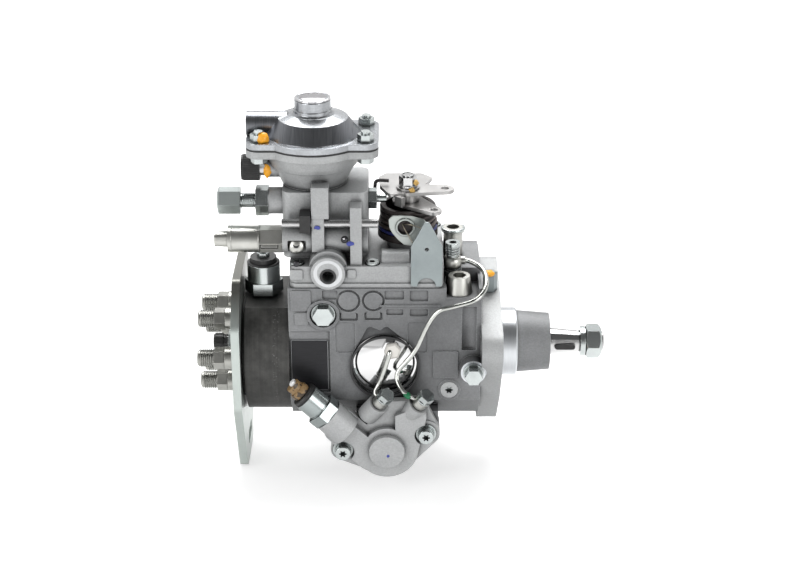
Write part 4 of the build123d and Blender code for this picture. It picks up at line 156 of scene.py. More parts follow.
scene = bpy.context.scene
scene.view_settings.view_transform = "Standard"
world = bpy.data.worlds.new("white_surround")
scene.world = world
world.use_nodes = True
Field.tree = world.node_tree
Field.tree.nodes.clear()
dim_side = (0.05, -0.34, 0.94)
towards_dim = vector_value("DOT_PRODUCT", Field.node("TexCoord", output="Generated"), dim_side)
dimness = mapped(towards_dim, 0.25, 0.80, 0.0, 0.84, "SMOOTHSTEP")
lighting_level = 0.55
surround_level = lighting_level + (1.0 - lighting_level) * seen_directly() - dimness * ray_is("Glossy") * 0.9
surround = Field.node("Background", {}, {"Color": rgb(1.0, 1.0, 1.0), "Strength": surround_level})
world_out = Field.tree.nodes.new("ShaderNodeOutputWorld")
Field.tree.links.new(surround.socket, world_out.inputs["Surface"])

floor_gap = 0.002
floor_z = cad_box[0][2] - floor_gap
floor_reach = 9
floor_mesh = bpy.data.meshes.new("studio_floor")
floor_mesh.from_pydata(
    [(x * floor_reach, y * floor_reach, floor_z) for x, y in ((-1, -1), (1, -1), (1, 1), (-1, 1))],
    [],
    [(0, 1, 2, 3)],
)
floor = bpy.data.objects.new("studio_floor", floor_mesh)
scene.collection.objects.link(floor)
floor_paint = start_material("pale_floor")
floor_lit = Field.node("BsdfDiffuse", {}, {"Color": rgb(0.70, 0.70, 0.70)})
floor_place = Field.node("TexCoord", output="Object")
floor_far = mapped(vector_value("LENGTH", floor_place), 0.3, 1.6, 0.50, 1.0)
pump_middle = -0.07
floor_side = (Field.node("SeparateXYZ", {}, {"Vector": floor_place}) - pump_middle).maths("ABSOLUTE", 0.0)
floor_dimness = mapped(floor_side, 0.12, 0.42, 0.0, 0.5, "SMOOTHSTEP")
floor_level = floor_far * seen_directly() - floor_dimness * ray_is("Glossy")
floor_glow = Field.node("Emission", {}, {"Color": rgb(1.0, 1.0, 1.0), "Strength": floor_level})
end_material(Field.node("AddShader", {}, {0: floor_lit, 1: floor_glow}))
floor_mesh.materials.append(floor_paint)

for name, place, aim, size, power in (
    ("lamp_left", (-1.15, -1.0, 0.50), (-0.09, 0.0, 0.03), 0.9, 10.0),
    ("lamp_right", (1.0, -1.15, 0.42), (-0.07, 0.0, 0.03), 0.9, 9.0),
    ("lamp_back", (-0.05, 0.60, 1.20), (-0.07, 0.0, 0.03), 1.0, 24.0),
):
    lamp_data = bpy.data.lights.new(name, "AREA")
    lamp_data.shape = "SQUARE"
    lamp_data.size = size
    lamp_data.energy = power
    lamp = bpy.data.objects.new(name, lamp_data)
    lamp.location = place
    lamp.rotation_euler = (Vector(aim) - Vector(place)).to_track_quat("-Z", "Y").to_euler()
    scene.collection.objects.link(lamp)

# Camera. The photograph looks down on the near side of the pump from about 1.2 m, a little left of the
# flange, with a long lens and without tilt to either side.
look_down = math.radians(24.13)
camera_data = bpy.data.cameras.new("camera")
camera_data.sensor_width = 36.0
camera_data.lens = 76.01
camera_data.clip_start = 0.05
camera = bpy.data.objects.new("camera", camera_data)
camera.location = (-0.0726, -1.1235, 0.548)
camera.rotation_euler = (math.radians(90) - look_down, 0, 0)
scene.collection.objects.link(camera)
scene.camera = camera


# Housing. Die-cast aluminium alloy, blasted to a matt grey, with painted shade in the corners of its relief
# and pale edges, partly wear and partly a painted edge highlight. The flange is painted lighter and a painted
# shadow lies on the middle of the near face. The pilot in front of the flange and the seat of the lock screw
# are machined bright.
def place_field():
    return Field.node("TexCoord", output="Object")


def axis_field(index):
    return Field.node("SeparateXYZ", {}, {"Vector": place_field()}, output=index)


def between(value, low, high):
    return (value > low) * (value < high)


def near_line(first, second, radius):
    away_first = axis_field(first[0]) - first[1]
    away_second = axis_field(second[0]) - second[1]
    return (away_first * away_first + away_second * away_second) < radius * radius


def noise(scale, detail=2.0, roughness=0.5, vector=None):
    return Field.node(
        "TexNoise",
        {},
        {"Vector": vector or place_field(), "Scale": scale, "Detail": detail, "Roughness": roughness},
    )


def stretched(scales):
    return Field.node("Mapping", {}, {"Vector": place_field(), "Scale": scales})


def blend_colour(factor, first, second, mode="MIX"):
    return Field.node(
        "Mix", {"data_type": "RGBA", "blend_type": mode}, {0: factor, 6: first, 7: second}, output=2
    )


def mix_shader(factor, first, second):
    return Field.node("MixShader", {}, {0: factor, 1: first, 2: second})


def ramp(value, *stops):
    return Field.node("ValToRGB", {"stops": stops}, {"Fac": value})


def edge_normal(radius):
    return Field.node("Bevel", {"samples": 4}, {"Radius": radius})


# Pale edges found from the bevel normal: partly wear, partly a painted edge highlight.
def edge_wear_and_highlight(radius, gain):
    flat = Field.node("NewGeometry", output="Normal")
    kept = vector_value("DOT_PRODUCT", edge_normal(radius), flat)
    return ((1.0 - kept) * gain).clamp()


def crevice(distance):
    return Field.node("AmbientOcclusion", {"samples": 6}, {"Distance": distance}, output="AO")


def bump(height, strength, distance, normal=None):
    sockets = {"Height": height, "Strength": strength, "Distance": distance}
    if normal:
        sockets["Normal"] = normal
    return Field.node("Bump", {}, sockets)


def principled(colour, metallic, roughness, normal=None):
    sockets = {"Base Color": colour, "Metallic": metallic, "Roughness": roughness}
    if normal:
        sockets["Normal"] = normal
    return Field.node("BsdfPrincipled", {}, sockets)


def grey(tone):
    return rgb(tone, tone, tone)


# Painted shade: ambient occlusion darkens the colour in crevices, corners and recesses, where shade falls.
def crevice_shade(fine, wide, low):
    small = ramp(crevice(fine), (0.36, grey(low)), (0.92, grey(1.0)))
    large = ramp(crevice(wide), (0.05, grey(low * 1.3)), (0.72, grey(1.0)))
    return blend_colour(1.0, small, large, "MULTIPLY")


def cast_alloy(
    name, pale, dark, roughness=0.44, grain=0.4, machined=None, metallic=0.4, edge=0.5, flange=0.0,
    cut=((0.52, 0.54, 0.56), (0.72, 0.74, 0.76)),
):
    material = start_material(name)
    fine = noise(1500, 3.0, 0.6)
    cloud = noise(55, 5.0, 0.62)
    patch = noise(13, 2.0, 0.5)
    tint = blend_colour((cloud * 0.9 + patch * 0.7 - 0.32).clamp(), rgb(*dark), rgb(*pale))
    # Painted light: the flange faces are painted lighter, and a painted shadow darkens the middle of the near
    # face.
    if flange:
        tint = blend_colour(between(axis_field(0), *flange_faces) * flange, tint, rgb(0.50, 0.51, 0.51))
        mid_face_shadow = mapped(vector_value("DISTANCE", place_field(), painted_shadow_centre), 0.022, 0.062, 0.45, 0.0)
        tint = blend_colour(mid_face_shadow, tint, rgb(0.085, 0.087, 0.090))
    speckle = ramp(noise(900, 2.0, 0.5), (0.35, grey(0.90)), (0.65, grey(1.05)))
    tint = blend_colour(1.0, tint, speckle, "MULTIPLY")
    # Painted shade in the corners and recesses of the casting.
    colour = blend_colour(0.92, tint, crevice_shade(0.0028, 0.016, 0.14), "MULTIPLY")
    # Pale edges, partly wear and partly a painted edge highlight.
    rim = blend_colour(edge_wear_and_highlight(0.0007, 3.0) * edge, colour, rgb(0.74, 0.76, 0.77))
    relief = fine * 0.5 + noise(420, 2.0) * 0.5
    rough = roughness + 0.16 * cloud + 0.05 * fine
    cast = principled(rim, metallic, rough, bump(relief, grain, 0.0004, edge_normal(0.0008)))
    if machined is None:
        end_material(cast)
        return material
    rings = noise(1.0, 1.0, 0.5, stretched((2600, 60, 60)))
    turned_tone = blend_colour(rings, rgb(*cut[0]), rgb(*cut[1]))
    turned_face = principled(turned_tone, 1.0, 0.24 + 0.14 * rings, edge_normal(0.0004))
    end_material(mix_shader(machined(), cast, turned_face))
    return material


def dress(material, *nodes):
    for node in nodes:
        for node_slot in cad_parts[node].material_slots:
            node_slot.material = material


flange_faces = (-0.0150, -0.0002)
pilot_faces = (-0.0001, 0.0131)
# Centre of the painted shadow on the middle of the near face.
painted_shadow_centre = (-0.066, -0.045, 0.008)
lock_screw_seat = ((0, -0.0205), (2, 0.0010), 0.0094)
near_wall = -0.0535


def housing_machined():
    lock_seat = near_line(*lock_screw_seat) * (axis_field(1) < near_wall)
    return (between(axis_field(0), *pilot_faces) + lock_seat).clamp()


# The flange setting paints the flange lighter and lays the painted shadow on the near face.
housing_alloy = cast_alloy(
    "housing_cast_alloy", (0.30, 0.305, 0.31), (0.13, 0.134, 0.138), machined=housing_machined, flange=0.6
)
dress(housing_alloy, "pump_housing")

# Data plate. A black anodised sheet of aluminium with a bare bright rim, pressed into the sunk field beside
# the head. It is left blank.
def mesh_piece(name, vertices, faces, material, body, smooth_angle=35.0):
    mesh = bpy.data.meshes.new(name)
    mesh.from_pydata([tuple(v) for v in vertices], [], faces)
    mesh.validate()
    for polygon in mesh.polygons:
        polygon.use_smooth = True
    mesh.set_sharp_from_angle(angle=math.radians(smooth_angle))
    mesh.materials.append(material)
    piece = bpy.data.objects.new(name, mesh)
    scene.collection.objects.link(piece)
    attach(piece, body)
    return piece


def strip(first, second, count, reverse=False):
    faces = []
    for k in range(count):
        n = (k + 1) % count
        a, b, c, d = first + k, first + n, second + n, second + k
        faces.append((a, d, c, b) if reverse else (a, b, c, d))
    return faces


def prism(name, outline, base, axes, depth, bevel, material, body):
    side_u, side_v, out = (Vector(a) for a in axes)
    count = len(outline)
    centre_u = sum(u for u, v in outline) / count
    centre_v = sum(v for u, v in outline) / count
    vertices = []
    for height, inset in ((0.0, 0.0), (depth - bevel, 0.0), (depth, bevel)):
        for u, v in outline:
            keep = 1.0 - inset / math.hypot(u - centre_u, v - centre_v)
            along_u = side_u * (centre_u + (u - centre_u) * keep)
            along_v = side_v * (centre_v + (v - centre_v) * keep)
            vertices.append(Vector(base) + out * height + along_u + along_v)
    faces = [tuple(reversed(range(count))), tuple(range(2 * count, 3 * count))]
    faces += strip(0, count, count) + strip(count, 2 * count, count)
    return mesh_piece(name, vertices, faces, material, body, 20.0)


def rounded_box(width, height, corner):
    steps = 6
    points = []
    for sign_u, sign_v, start in ((1, 1, 0), (-1, 1, 90), (-1, -1, 180), (1, -1, 270)):
        for k in range(steps + 1):
            angle = math.radians(start + 90 * k / steps)
            points.append(
                (
                    sign_u * (width / 2 - corner) + corner * math.cos(angle),
                    sign_v * (height / 2 - corner) + corner * math.sin(angle),
                )
            )
    return points


plate_centre = (-0.1371, -0.0424, 0.0017)
plate_width = 0.0265
plate_height = 0.0400
plate_rim = 0.0004
near_axes = ((1, 0, 0), (0, 0, 1), (0, -1, 0))
plate_paint = start_material("anodised_plate")
brushing = noise(1.0, 2.0, 0.5, stretched((90, 90, 2400)))
plate_tone = blend_colour(brushing, rgb(0.010, 0.010, 0.012), rgb(0.028, 0.028, 0.031))


def inside_rim(index, length):
    reach = length / 2 - plate_rim
    return between(axis_field(index), plate_centre[index] - reach, plate_centre[index] + reach)


bare_rim = 1.0 - inside_rim(0, plate_width) * inside_rim(2, plate_height)
end_material(
    principled(
        blend_colour(bare_rim, plate_tone, rgb(0.30, 0.31, 0.32)),
        0.55,
        0.34 + 0.12 * brushing,
        bump(brushing, 0.05, 0.0001),
    )
)
prism(
    "data_plate", rounded_box(plate_width, plate_height, 0.0012), plate_centre, near_axes, 0.0008, 0.0002,
    plate_paint, "casing",
)

# Timing covers. The same alloy, bolted to both ends of the cylinder that crosses under the body; the near
# one carries the timing valve on its arm.
timing_alloy = cast_alloy("timing_cover_alloy", (0.50, 0.51, 0.51), (0.36, 0.365, 0.37))
dress(timing_alloy, "timing_cover", "timing_cover_far")


# Governor cover. Cast in the same alloy with a smoother, tumbled skin. It carries the lever tower, the
# pedestal and the bowl of the compensator; the ring of its port is spot-faced.
def coated_steel(name, pale, dark, roughness, metallic, scale=300.0, grain=0.12, low=0.2):
    material = start_material(name)
    cloud = noise(scale * 0.2, 4.0, 0.65)
    fine = noise(scale * 4, 2.0, 0.6)
    tint = blend_colour((cloud * 1.4 - 0.2).clamp(), rgb(*dark), rgb(*pale))
    # Painted shade in the crevices.
    colour = blend_colour(0.9, tint, crevice_shade(0.0018, 0.008, low), "MULTIPLY")
    end_material(
        principled(
            colour, metallic, roughness + 0.12 * cloud, bump(fine, grain, 0.0002, edge_normal(0.0004))
        )
    )
    return material


def frame_of(axis):
    along = Vector(axis).normalized()
    helper = Vector((0, 0, 1)) if abs(along.z) < 0.9 else Vector((1, 0, 0))
    across = along.cross(helper).normalized()
    return along, across, along.cross(across)


def turned(name, profile, base, axis, material, body, segments=48, ring=False, smooth=35.0):
    along, across, upward = frame_of(axis)
    vertices, faces = [], []
    for reach, radius in profile:
        for k in range(segments):
            angle = 2 * math.pi * k / segments
            out = across * math.cos(angle) + upward * math.sin(angle)
            vertices.append(Vector(base) + along * reach + out * radius)
    rows = len(profile)
    for level in range(rows if ring else rows - 1):
        faces += strip(level * segments, (level + 1) % rows * segments, segments, reverse=True)
    if not ring:
        faces.append(tuple(range(segments)))
        faces.append(tuple(reversed(range((rows - 1) * segments, rows * segments))))
    return mesh_piece(name, vertices, faces, material, body, smooth)


port_x = -0.1229
port_front = -0.0455


def port_face():
    spot = near_line((0, port_x), (2, 0.0740), 0.0101) - near_line((0, port_x), (2, 0.0744), 0.0076)
    return spot * (axis_field(1) < port_front)


cover_alloy = cast_alloy(
    "cover_cast_alloy", (0.46, 0.47, 0.47), (0.30, 0.305, 0.31), 0.38, 0.3, port_face,
    cut=((0.50, 0.51, 0.52), (0.64, 0.65, 0.66)),
)
dress(cover_alloy, "governor_cover")
# Painted shade: a dark ring at the mouth of the port stands for the shade in its bore.
painted_hole_shade = coated_steel("painted_hole_shade", (0.055, 0.055, 0.056), (0.020, 0.020, 0.021), 0.5, 0.3)
turned(
    "port_bore_shade", ((0.0, 0.0041), (0.0, 0.0056), (0.0003, 0.0057), (0.0003, 0.0042)),
    (port_x, -0.0460, 0.0720), (0, -1, 0), painted_hole_shade, "casing", 64, ring=True,
)
compensator_axis = (-0.1334, 0.0, 0.0)
turned(
    "bowl_band",
    (
        (0.1402, 0.0268), (0.1408, 0.0300), (0.1418, 0.0310),
        (0.1495, 0.0322), (0.1510, 0.0332), (0.1510, 0.0300),
    ),
    compensator_axis, (0, 0, 1), cover_alloy, "casing", 96, ring=True, smooth=40.0,
)

# Compensator cover. A tumbled, brighter casting with a pressed steel cap on its neck and a stub for the
# hose from the inlet manifold. Its cone and the stub are turned smooth.
cone_low = 0.1629
cone_high = 0.1738
stub_end = -0.1575


def spun_cone():
    stub = (axis_field(0) < stub_end) * (axis_field(2) > cone_low)
    return (between(axis_field(2), cone_low, cone_high) + stub).clamp()


bright_alloy = cast_alloy(
    "bright_cast_alloy", (0.50, 0.52, 0.54), (0.38, 0.39, 0.41), 0.14, 0.06, spun_cone, 1.0, 0.8,
    cut=((0.13, 0.135, 0.148), (0.32, 0.33, 0.35)),
)
dress(bright_alloy, "boost_cover")

# Distributor head. Solid steel, phosphated brown-black and oiled, ground flat on top for the shut-off
# solenoid; pale scale shows through in streaks along its turned sides.
flat_top = 0.0392
phosphate = start_material("oiled_phosphate")
phosphate_cloud = noise(90, 5.0, 0.7)
phosphate_tone = blend_colour(
    (phosphate_cloud * 1.6 - 0.35).clamp(), rgb(0.018, 0.018, 0.017), rgb(0.075, 0.074, 0.070)
)
turning = ramp(noise(1.0, 2.0, 0.5, stretched((700, 6, 6))), (0.3, grey(0.85)), (0.7, grey(1.15)))
phosphate_tone = blend_colour(1.0, phosphate_tone, turning, "MULTIPLY")
scale_rows = ramp(noise(1.0, 1.0, 0.5, stretched((140, 2, 2))), (0.55, grey(0.0)), (0.68, grey(1.0)))
scale_marks = ramp(noise(700, 3.0, 0.6), (0.60, grey(0.0)), (0.72, grey(0.20)))
pale_scale = blend_colour(1.0, scale_rows, scale_marks, "MULTIPLY")
end_material(
    principled(
        blend_colour(
            1.0,
            # Painted shade in the crevices of the head.
            blend_colour(0.85, phosphate_tone, crevice_shade(0.003, 0.014, 0.2), "MULTIPLY"),
            blend_colour((axis_field(2) > flat_top) * 0.9, pale_scale, grey(0.0)),
            "ADD",
        ),
        0.35,
        0.40 + 0.2 * phosphate_cloud,
        bump(noise(900, 3.0, 0.6), 0.35, 0.0003, edge_normal(0.0005)),
    )
)
dress(phosphate, "distributor_head")

# Rear plate and bracket. Steel sheet, cut out and plated with bluish zinc. The rear plate is painted darker
# towards its top.
plate_mix = start_material("rear_plate_finish")
# The rear plate is painted darker towards its top.
upper_darkening = mapped(axis_field(2) + 0.006 * noise(60, 3.0), 0.040, 0.058, 0.0, 1.0)
plate_zinc = blend_colour(noise(40, 4.0, 0.6), rgb(0.42, 0.46, 0.44), rgb(0.56, 0.61, 0.58))
plate_zinc = blend_colour(upper_darkening, plate_zinc, rgb(0.17, 0.17, 0.155))
# Painted shade in the crevices of the rear plate.
plate_zinc = blend_colour(0.9, plate_zinc, crevice_shade(0.0018, 0.008, 0.2), "MULTIPLY")
end_material(principled(plate_zinc, 0.8, 0.28 + 0.1 * noise(90), edge_normal(0.0005)))
dress(plate_mix, "rear_plate")
bracket_zinc = coated_steel("bracket_zinc", (0.33, 0.37, 0.375), (0.23, 0.26, 0.265), 0.32, 0.8, 260.0)
dress(bracket_zinc, "lever_bracket")

# Outlets. Six hollow delivery valve holders of zinc-plated steel stand in a ring on the head, each with a
# rolled thread for the nut of its injection pipe.
def threaded(name, base, axis, radius, length, pitch, depth, material, body):
    along, across, upward = frame_of(axis)
    step = 24
    sunk = -0.00015
    count = int(length / pitch * step)
    section = ((0.0, sunk), (pitch * 0.38, depth), (pitch * 0.55, depth), (pitch * 0.93, sunk))
    vertices, faces = [], []
    for k in range(count + 1):
        angle = 2 * math.pi * k / step
        fade = min(1.0, k / (step * 0.4), (count - k) / (step * 0.4))
        out = across * math.cos(angle) + upward * math.sin(angle)
        for reach, height in section:
            lift = height if height < 0 else height * fade
            vertices.append(Vector(base) + along * (pitch * k / step + reach) + out * (radius + lift))
    for k in range(count):
        faces += strip(4 * k, 4 * k + 4, 4)
    faces.append((3, 2, 1, 0))
    faces.append(tuple(4 * count + j for j in range(4)))
    return mesh_piece(name, vertices, faces, material, body, 30.0)


zinc_bright = coated_steel("zinc_bright", (0.62, 0.66, 0.65), (0.44, 0.47, 0.47), 0.17, 1.0, 400.0)
dress(
    zinc_bright, "shaft_nut", "shaft_washer", "pivot_bolts", "boost_bolts", "cover_screws", "stop_screw",
    "banjo_screws", "overflow_screw",
)
holder_steel = coated_steel(
    "holder_steel", (0.50, 0.50, 0.47), (0.30, 0.30, 0.28), 0.24, 1.0, 300.0, 0.15, 0.08
)
dress(holder_steel, "delivery_holders")
outlet_ring = 0.0286
for index in range(6):
    angle = math.radians(60 * index)
    threaded(
        f"outlet_thread_{index + 1}",
        (-0.2185, outlet_ring * math.cos(angle), outlet_ring * math.sin(angle)),
        (1, 0, 0), 0.0060, 0.0108, 0.0015, 0.00055, holder_steel, "casing",
    )

# Bleed screw. A hexagon plug of zinc-plated steel, screwed into the head in the middle of the outlets, under
# a black rubber cap.
rubber_end = -0.1994
bleed_mix = start_material("bleed_screw_finish")
capped = principled(blend_colour(noise(300), grey(0.008), grey(0.022)), 0.0, 0.36, edge_normal(0.0006))
bare = principled(
    blend_colour(noise(90), rgb(0.50, 0.53, 0.53), rgb(0.64, 0.68, 0.67)), 1.0, 0.2 + 0.1 * noise(60)
)
end_material(mix_shader(axis_field(0) < rubber_end, bare, capped))
dress(bleed_mix, "bleed_screw")

# Stops of the compensator. The upper screw limits the boost stroke: a lock nut, a threaded rod and a capped
# hexagon. The lower one is the full-load screw in its smooth tamper-proof sleeve.
def corners(radius, count, start=0.0):
    turns = [2 * math.pi * k / count + math.radians(start) for k in range(count)]
    return [(radius * math.cos(turn), radius * math.sin(turn)) for turn in turns]


satin_steel = coated_steel("satin_steel", (0.62, 0.62, 0.59), (0.46, 0.46, 0.43), 0.26, 1.0, 400.0)
dress(satin_steel, "full_load_screw")
dress(zinc_bright, "travel_stop")
threaded(
    "travel_stop_thread", (-0.1850, -0.012, 0.116), (1, 0, 0), 0.0050, 0.0098, 0.00125, 0.00035,
    zinc_bright, "casing",
)
cap_zinc = coated_steel("cap_zinc", (0.44, 0.48, 0.47), (0.32, 0.35, 0.345), 0.30, 0.8, 200.0)
half_across_flats = 0.00845
prism(
    "travel_stop_cap", corners(half_across_flats / math.cos(math.radians(30)), 6), (-0.1849, -0.012, 0.116),
    ((0, 1, 0), (0, 0, 1), (-1, 0, 0)), 0.0160, 0.0010, cap_zinc, "casing",
)
sleeve_rings = (("sleeve_collar", -0.1722, 0.0010, 0.0099), ("sleeve_groove", -0.1912, 0.0008, 0.0097))
for name, start, length, radius in sleeve_rings:
    turned(
        name, ((0, radius - 0.0006), (0.0002, radius), (length - 0.0002, radius), (length, radius - 0.0006)),
        (start, -0.025, 0.092), (1, 0, 0), satin_steel, "casing",
    )

# Painted shadow: a dark frame behind the satin plate stands for the shade in the slot of the sleeve.
window_centre = (-0.1640, -0.0334, 0.0918)
window_axes = ((1, 0, 0), (0, 0.5, 0.866), (0, -0.866, 0.5))
painted_slot_shadow = coated_steel("painted_slot_shadow", (0.030, 0.030, 0.030), (0.012, 0.012, 0.012), 0.5, 0.2)
prism(
    "sleeve_window", rounded_box(0.0124, 0.0074, 0.0004), window_centre, window_axes, 0.0003, 0.0001,
    painted_slot_shadow, "casing",
)
prism(
    "sleeve_window_core", rounded_box(0.0112, 0.0062, 0.0003), window_centre, window_axes, 0.0005, 0.0001,
    satin_steel, "casing",
)

# Vent. A black plastic cap with a knurled rim, pushed over a steel collar on the bowl. It lets air into the
# space under the diaphragm.
collar_end = -0.1709
vent_mix = start_material("vent_finish")
black_cap = principled(blend_colour(noise(300), grey(0.010), grey(0.026)), 0.0, 0.45, edge_normal(0.0005))
collar_steel = principled(blend_colour(noise(90), grey(0.5), grey(0.66)), 1.0, 0.22 + 0.1 * noise(60))
end_material(mix_shader(axis_field(0) < collar_end, collar_steel, black_cap))
dress(vent_mix, "vent_cap")
knurl_count = 40
knurl_profile = []
for k in range(2 * knurl_count):
    angle = math.pi * k / knurl_count
    reach = 0.0094 if k % 2 else 0.0089
    knurl_profile.append((reach * math.cos(angle), reach * math.sin(angle)))
prism(
    "vent_knurl", knurl_profile, (-0.1716, -0.005, 0.1383), ((0, 1, 0), (0, 0, 1), (-1, 0, 0)),
    0.0118, 0.0008, vent_mix, "casing",
)

# Cap of the compensator. A drawn skirt and a pressed disc of bright steel, rolled in over a sealing ring,
# which leaves a bead round the top.
def bead(name, reach, radius, half_height, half_width, base, axis, material, segments=48):
    turns = [math.radians(degrees) for degrees in range(0, 360, 30)]
    profile = [(reach + half_height * math.sin(t), radius + half_width * math.cos(t)) for t in turns]
    turned(name, profile, base, axis, material, "casing", segments, ring=True, smooth=60.0)


pressed_steel = coated_steel("pressed_steel", (0.72, 0.72, 0.73), (0.60, 0.60, 0.62), 0.08, 1.0, 200.0, 0.03)
streaked_steel = start_material("streaked_steel")
streaks = ramp(
    noise(1.0, 3.0, 0.6, stretched((210, 210, 3))), (0.38, grey(0.15)), (0.52, grey(0.38)), (0.62, grey(0.82))
)
end_material(principled(streaks, 1.0, 0.18, edge_normal(0.0004)))
turned(
    "cap_skirt",
    (
        (0.1762, 0.0108), (0.1762, 0.0115), (0.1768, 0.0119), (0.1782, 0.0116), (0.1788, 0.0118),
        (0.1872, 0.0118), (0.1872, 0.0108),
    ),
    compensator_axis, (0, 0, 1), streaked_steel, "casing", 64, ring=True,
)
bead(
    "cap_rim", 0.1877, 0.0118, 0.0009, 0.0010, compensator_axis, (0, 0, 1), pressed_steel
)
cap_face = coated_steel("cap_face", (0.40, 0.39, 0.40), (0.34, 0.335, 0.345), 0.16, 1.0, 200.0, 0.03)
turned(
    "cap_disc", ((0.1870, 0.0098), (0.1882, 0.0098), (0.1885, 0.0093), (0.1886, 0.0004)),
    compensator_axis, (0, 0, 1), cap_face, "casing",
)

# Cross rod of the full-load stop. Ground steel, held in the two columns of the cover, with a black clamp
# block in its middle.
block_faces = (-0.1425, -0.1345)
rod_mix = start_material("cross_rod_finish")
rod_steel = principled(
    blend_colour(noise(120), grey(0.46), grey(0.60)), 1.0, 0.22 + 0.1 * noise(80), edge_normal(0.0003)
)
block_black = principled(blend_colour(noise(300), grey(0.010), grey(0.024)), 0.0, 0.5, edge_normal(0.0005))
end_material(mix_shader(between(axis_field(0), *block_faces), rod_steel, block_black))
dress(rod_mix, "cross_rod")


# Sealing plugs and small screws of the cover. A bright domed plug sits in the niche by the full-load screw,
# with painted shade for its socket; a dark ball-headed screw, with a small bright dome on it as a painted
# highlight, and a small flat one close drillings in the wall.
def dome_profile(radius, height, foot):
    turns = [math.radians(degrees) for degrees in range(0, 90, 12)]
    return [(0.0, radius)] + [(foot + height * math.sin(t), radius * math.cos(t)) for t in turns]


dark_screw = coated_steel("blackened_screw", (0.07, 0.07, 0.075), (0.025, 0.025, 0.028), 0.22, 0.8)
turned(
    "niche_plug", dome_profile(0.0058, 0.0026, 0.0012), (-0.1452, -0.0302, 0.0890), (0, -1, 0.25),
    satin_steel, "casing",
)
# Painted shade: a thin dark hexagon stands for the shade in the plug's socket.
turned(
    "niche_socket", ((0.0, 0.0024), (0.0003, 0.0024), (0.0004, 0.0020)),
    (-0.1452, -0.0332, 0.0905), (0, -1, 0.5), painted_hole_shade, "casing", 6,
)
turned(
    "ball_screw", dome_profile(0.0027, 0.0025, 0.0004), (-0.1111, -0.0398, 0.0975), (0, -1, 0.3),
    dark_screw, "casing", 24,
)
# Painted highlight: a small bright dome on the dark ball screw.
turned(
    "ball_screw_glint", dome_profile(0.0008, 0.0005, 0.0), (-0.1115, -0.0419, 0.0990), (-0.2, -1, 0.6),
    pressed_steel, "casing", 16,
)
turned(
    "wall_screw", dome_profile(0.0022, 0.0008, 0.0004), (-0.1449, -0.0419, 0.0800), (0, -1, 0.0),
    dark_screw, "casing", 24,
)

# Shut-off solenoid. A zinc-plated steel can, screwed into the flat top of the head, with a black rubber seal
# over the winding and a threaded stud for its wire.
shutoff_axis = (-0.1715, 0.0, 0.0)
seal_faces = (0.0635, 0.0681)
solenoid_can = start_material("solenoid_can")
can_tone = blend_colour(noise(60, 3.0), rgb(0.50, 0.53, 0.53), rgb(0.66, 0.70, 0.69))
# Painted shade in the crevices of the can.
can_shade = blend_colour(0.9, can_tone, crevice_shade(0.0018, 0.008, 0.2), "MULTIPLY")
can_steel = principled(can_shade, 1.0, 0.18 + 0.1 * noise(90, 2.0), edge_normal(0.0004))
rubber = principled(blend_colour(noise(300), grey(0.012), grey(0.03)), 0.0, 0.42, edge_normal(0.0006))
around_stud = near_line((0, shutoff_axis[0]), (1, shutoff_axis[1]), 0.0030)
seal_zone = between(axis_field(2), *seal_faces) * (1.0 - around_stud)
end_material(mix_shader(seal_zone, can_steel, rubber))
dress(solenoid_can, "shutoff_solenoid")
bead(
    "shutoff_seal", 0.0631, 0.0106, 0.0016, 0.0013, shutoff_axis, (0, 0, 1), solenoid_can
)
threaded(
    "shutoff_stud_thread", (shutoff_axis[0], 0.0, 0.0714), (0, 0, 1), 0.0020, 0.0034, 0.0008, 0.0002,
    zinc_bright, "casing",
)

# Timing solenoid. The same kind of can on the arm of the timing cover, with a black seal, a brown insulating
# ring and a white plug on its terminal.
timing_axis = Vector((-0.72, 0.0, 0.694)).normalized()
timing_seat = Vector((-0.1145, -0.057, -0.0405)) + timing_axis * 0.0132
seal_start = 0.0215
terminal_start = 0.0252


def along_timing():
    offset = Field.node("VectorMath", {"operation": "SUBTRACT"}, {0: place_field(), 1: timing_seat})
    return vector_value("DOT_PRODUCT", offset, timing_axis)


timing_mix = start_material("timing_solenoid_finish")
timing_tone = blend_colour(noise(60, 3.0), rgb(0.28, 0.31, 0.31), rgb(0.42, 0.46, 0.455))
# Painted shade in the crevices of the can.
timing_shade = blend_colour(0.9, timing_tone, crevice_shade(0.0018, 0.008, 0.2), "MULTIPLY")
timing_can = principled(timing_shade, 1.0, 0.2 + 0.1 * noise(90, 2.0), edge_normal(0.0004))
timing_rubber = principled(blend_colour(noise(300), grey(0.010), grey(0.026)), 0.0, 0.4, edge_normal(0.0006))
insulator_tone = blend_colour(noise(500, 3.0), rgb(0.12, 0.07, 0.025), rgb(0.34, 0.22, 0.10))
insulator = principled(insulator_tone, 0.0, 0.45, edge_normal(0.0006))
soot = principled(blend_colour(noise(500, 3.0), rgb(0.02, 0.016, 0.014), rgb(0.09, 0.06, 0.03)), 0.0, 0.4)
lower_part = mix_shader(along_timing() > seal_start, timing_can, timing_rubber)
upper_part = mix_shader(noise(230, 1.0) > 0.56, insulator, soot)
end_material(mix_shader(along_timing() > terminal_start, lower_part, upper_part))
dress(timing_mix, "timing_solenoid")
bead("timing_seal", 0.0232, 0.0080, 0.0020, 0.0019, timing_seat, timing_axis, timing_mix)
turned(
    "terminal_ring",
    ((0.0252, 0.0040), (0.0254, 0.0068), (0.0285, 0.0070), (0.0300, 0.0064), (0.0306, 0.0040)),
    timing_seat, timing_axis, timing_mix, "casing", ring=True,
)
white_plastic = start_material("white_plastic")
end_material(principled(blend_colour(noise(200), grey(0.70), grey(0.82)), 0.0, 0.4, edge_normal(0.0006)))
terminal_side = timing_axis.cross(Vector((0, 1, 0)))
terminal_place = timing_seat + timing_axis * 0.0325 - terminal_side * 0.0014
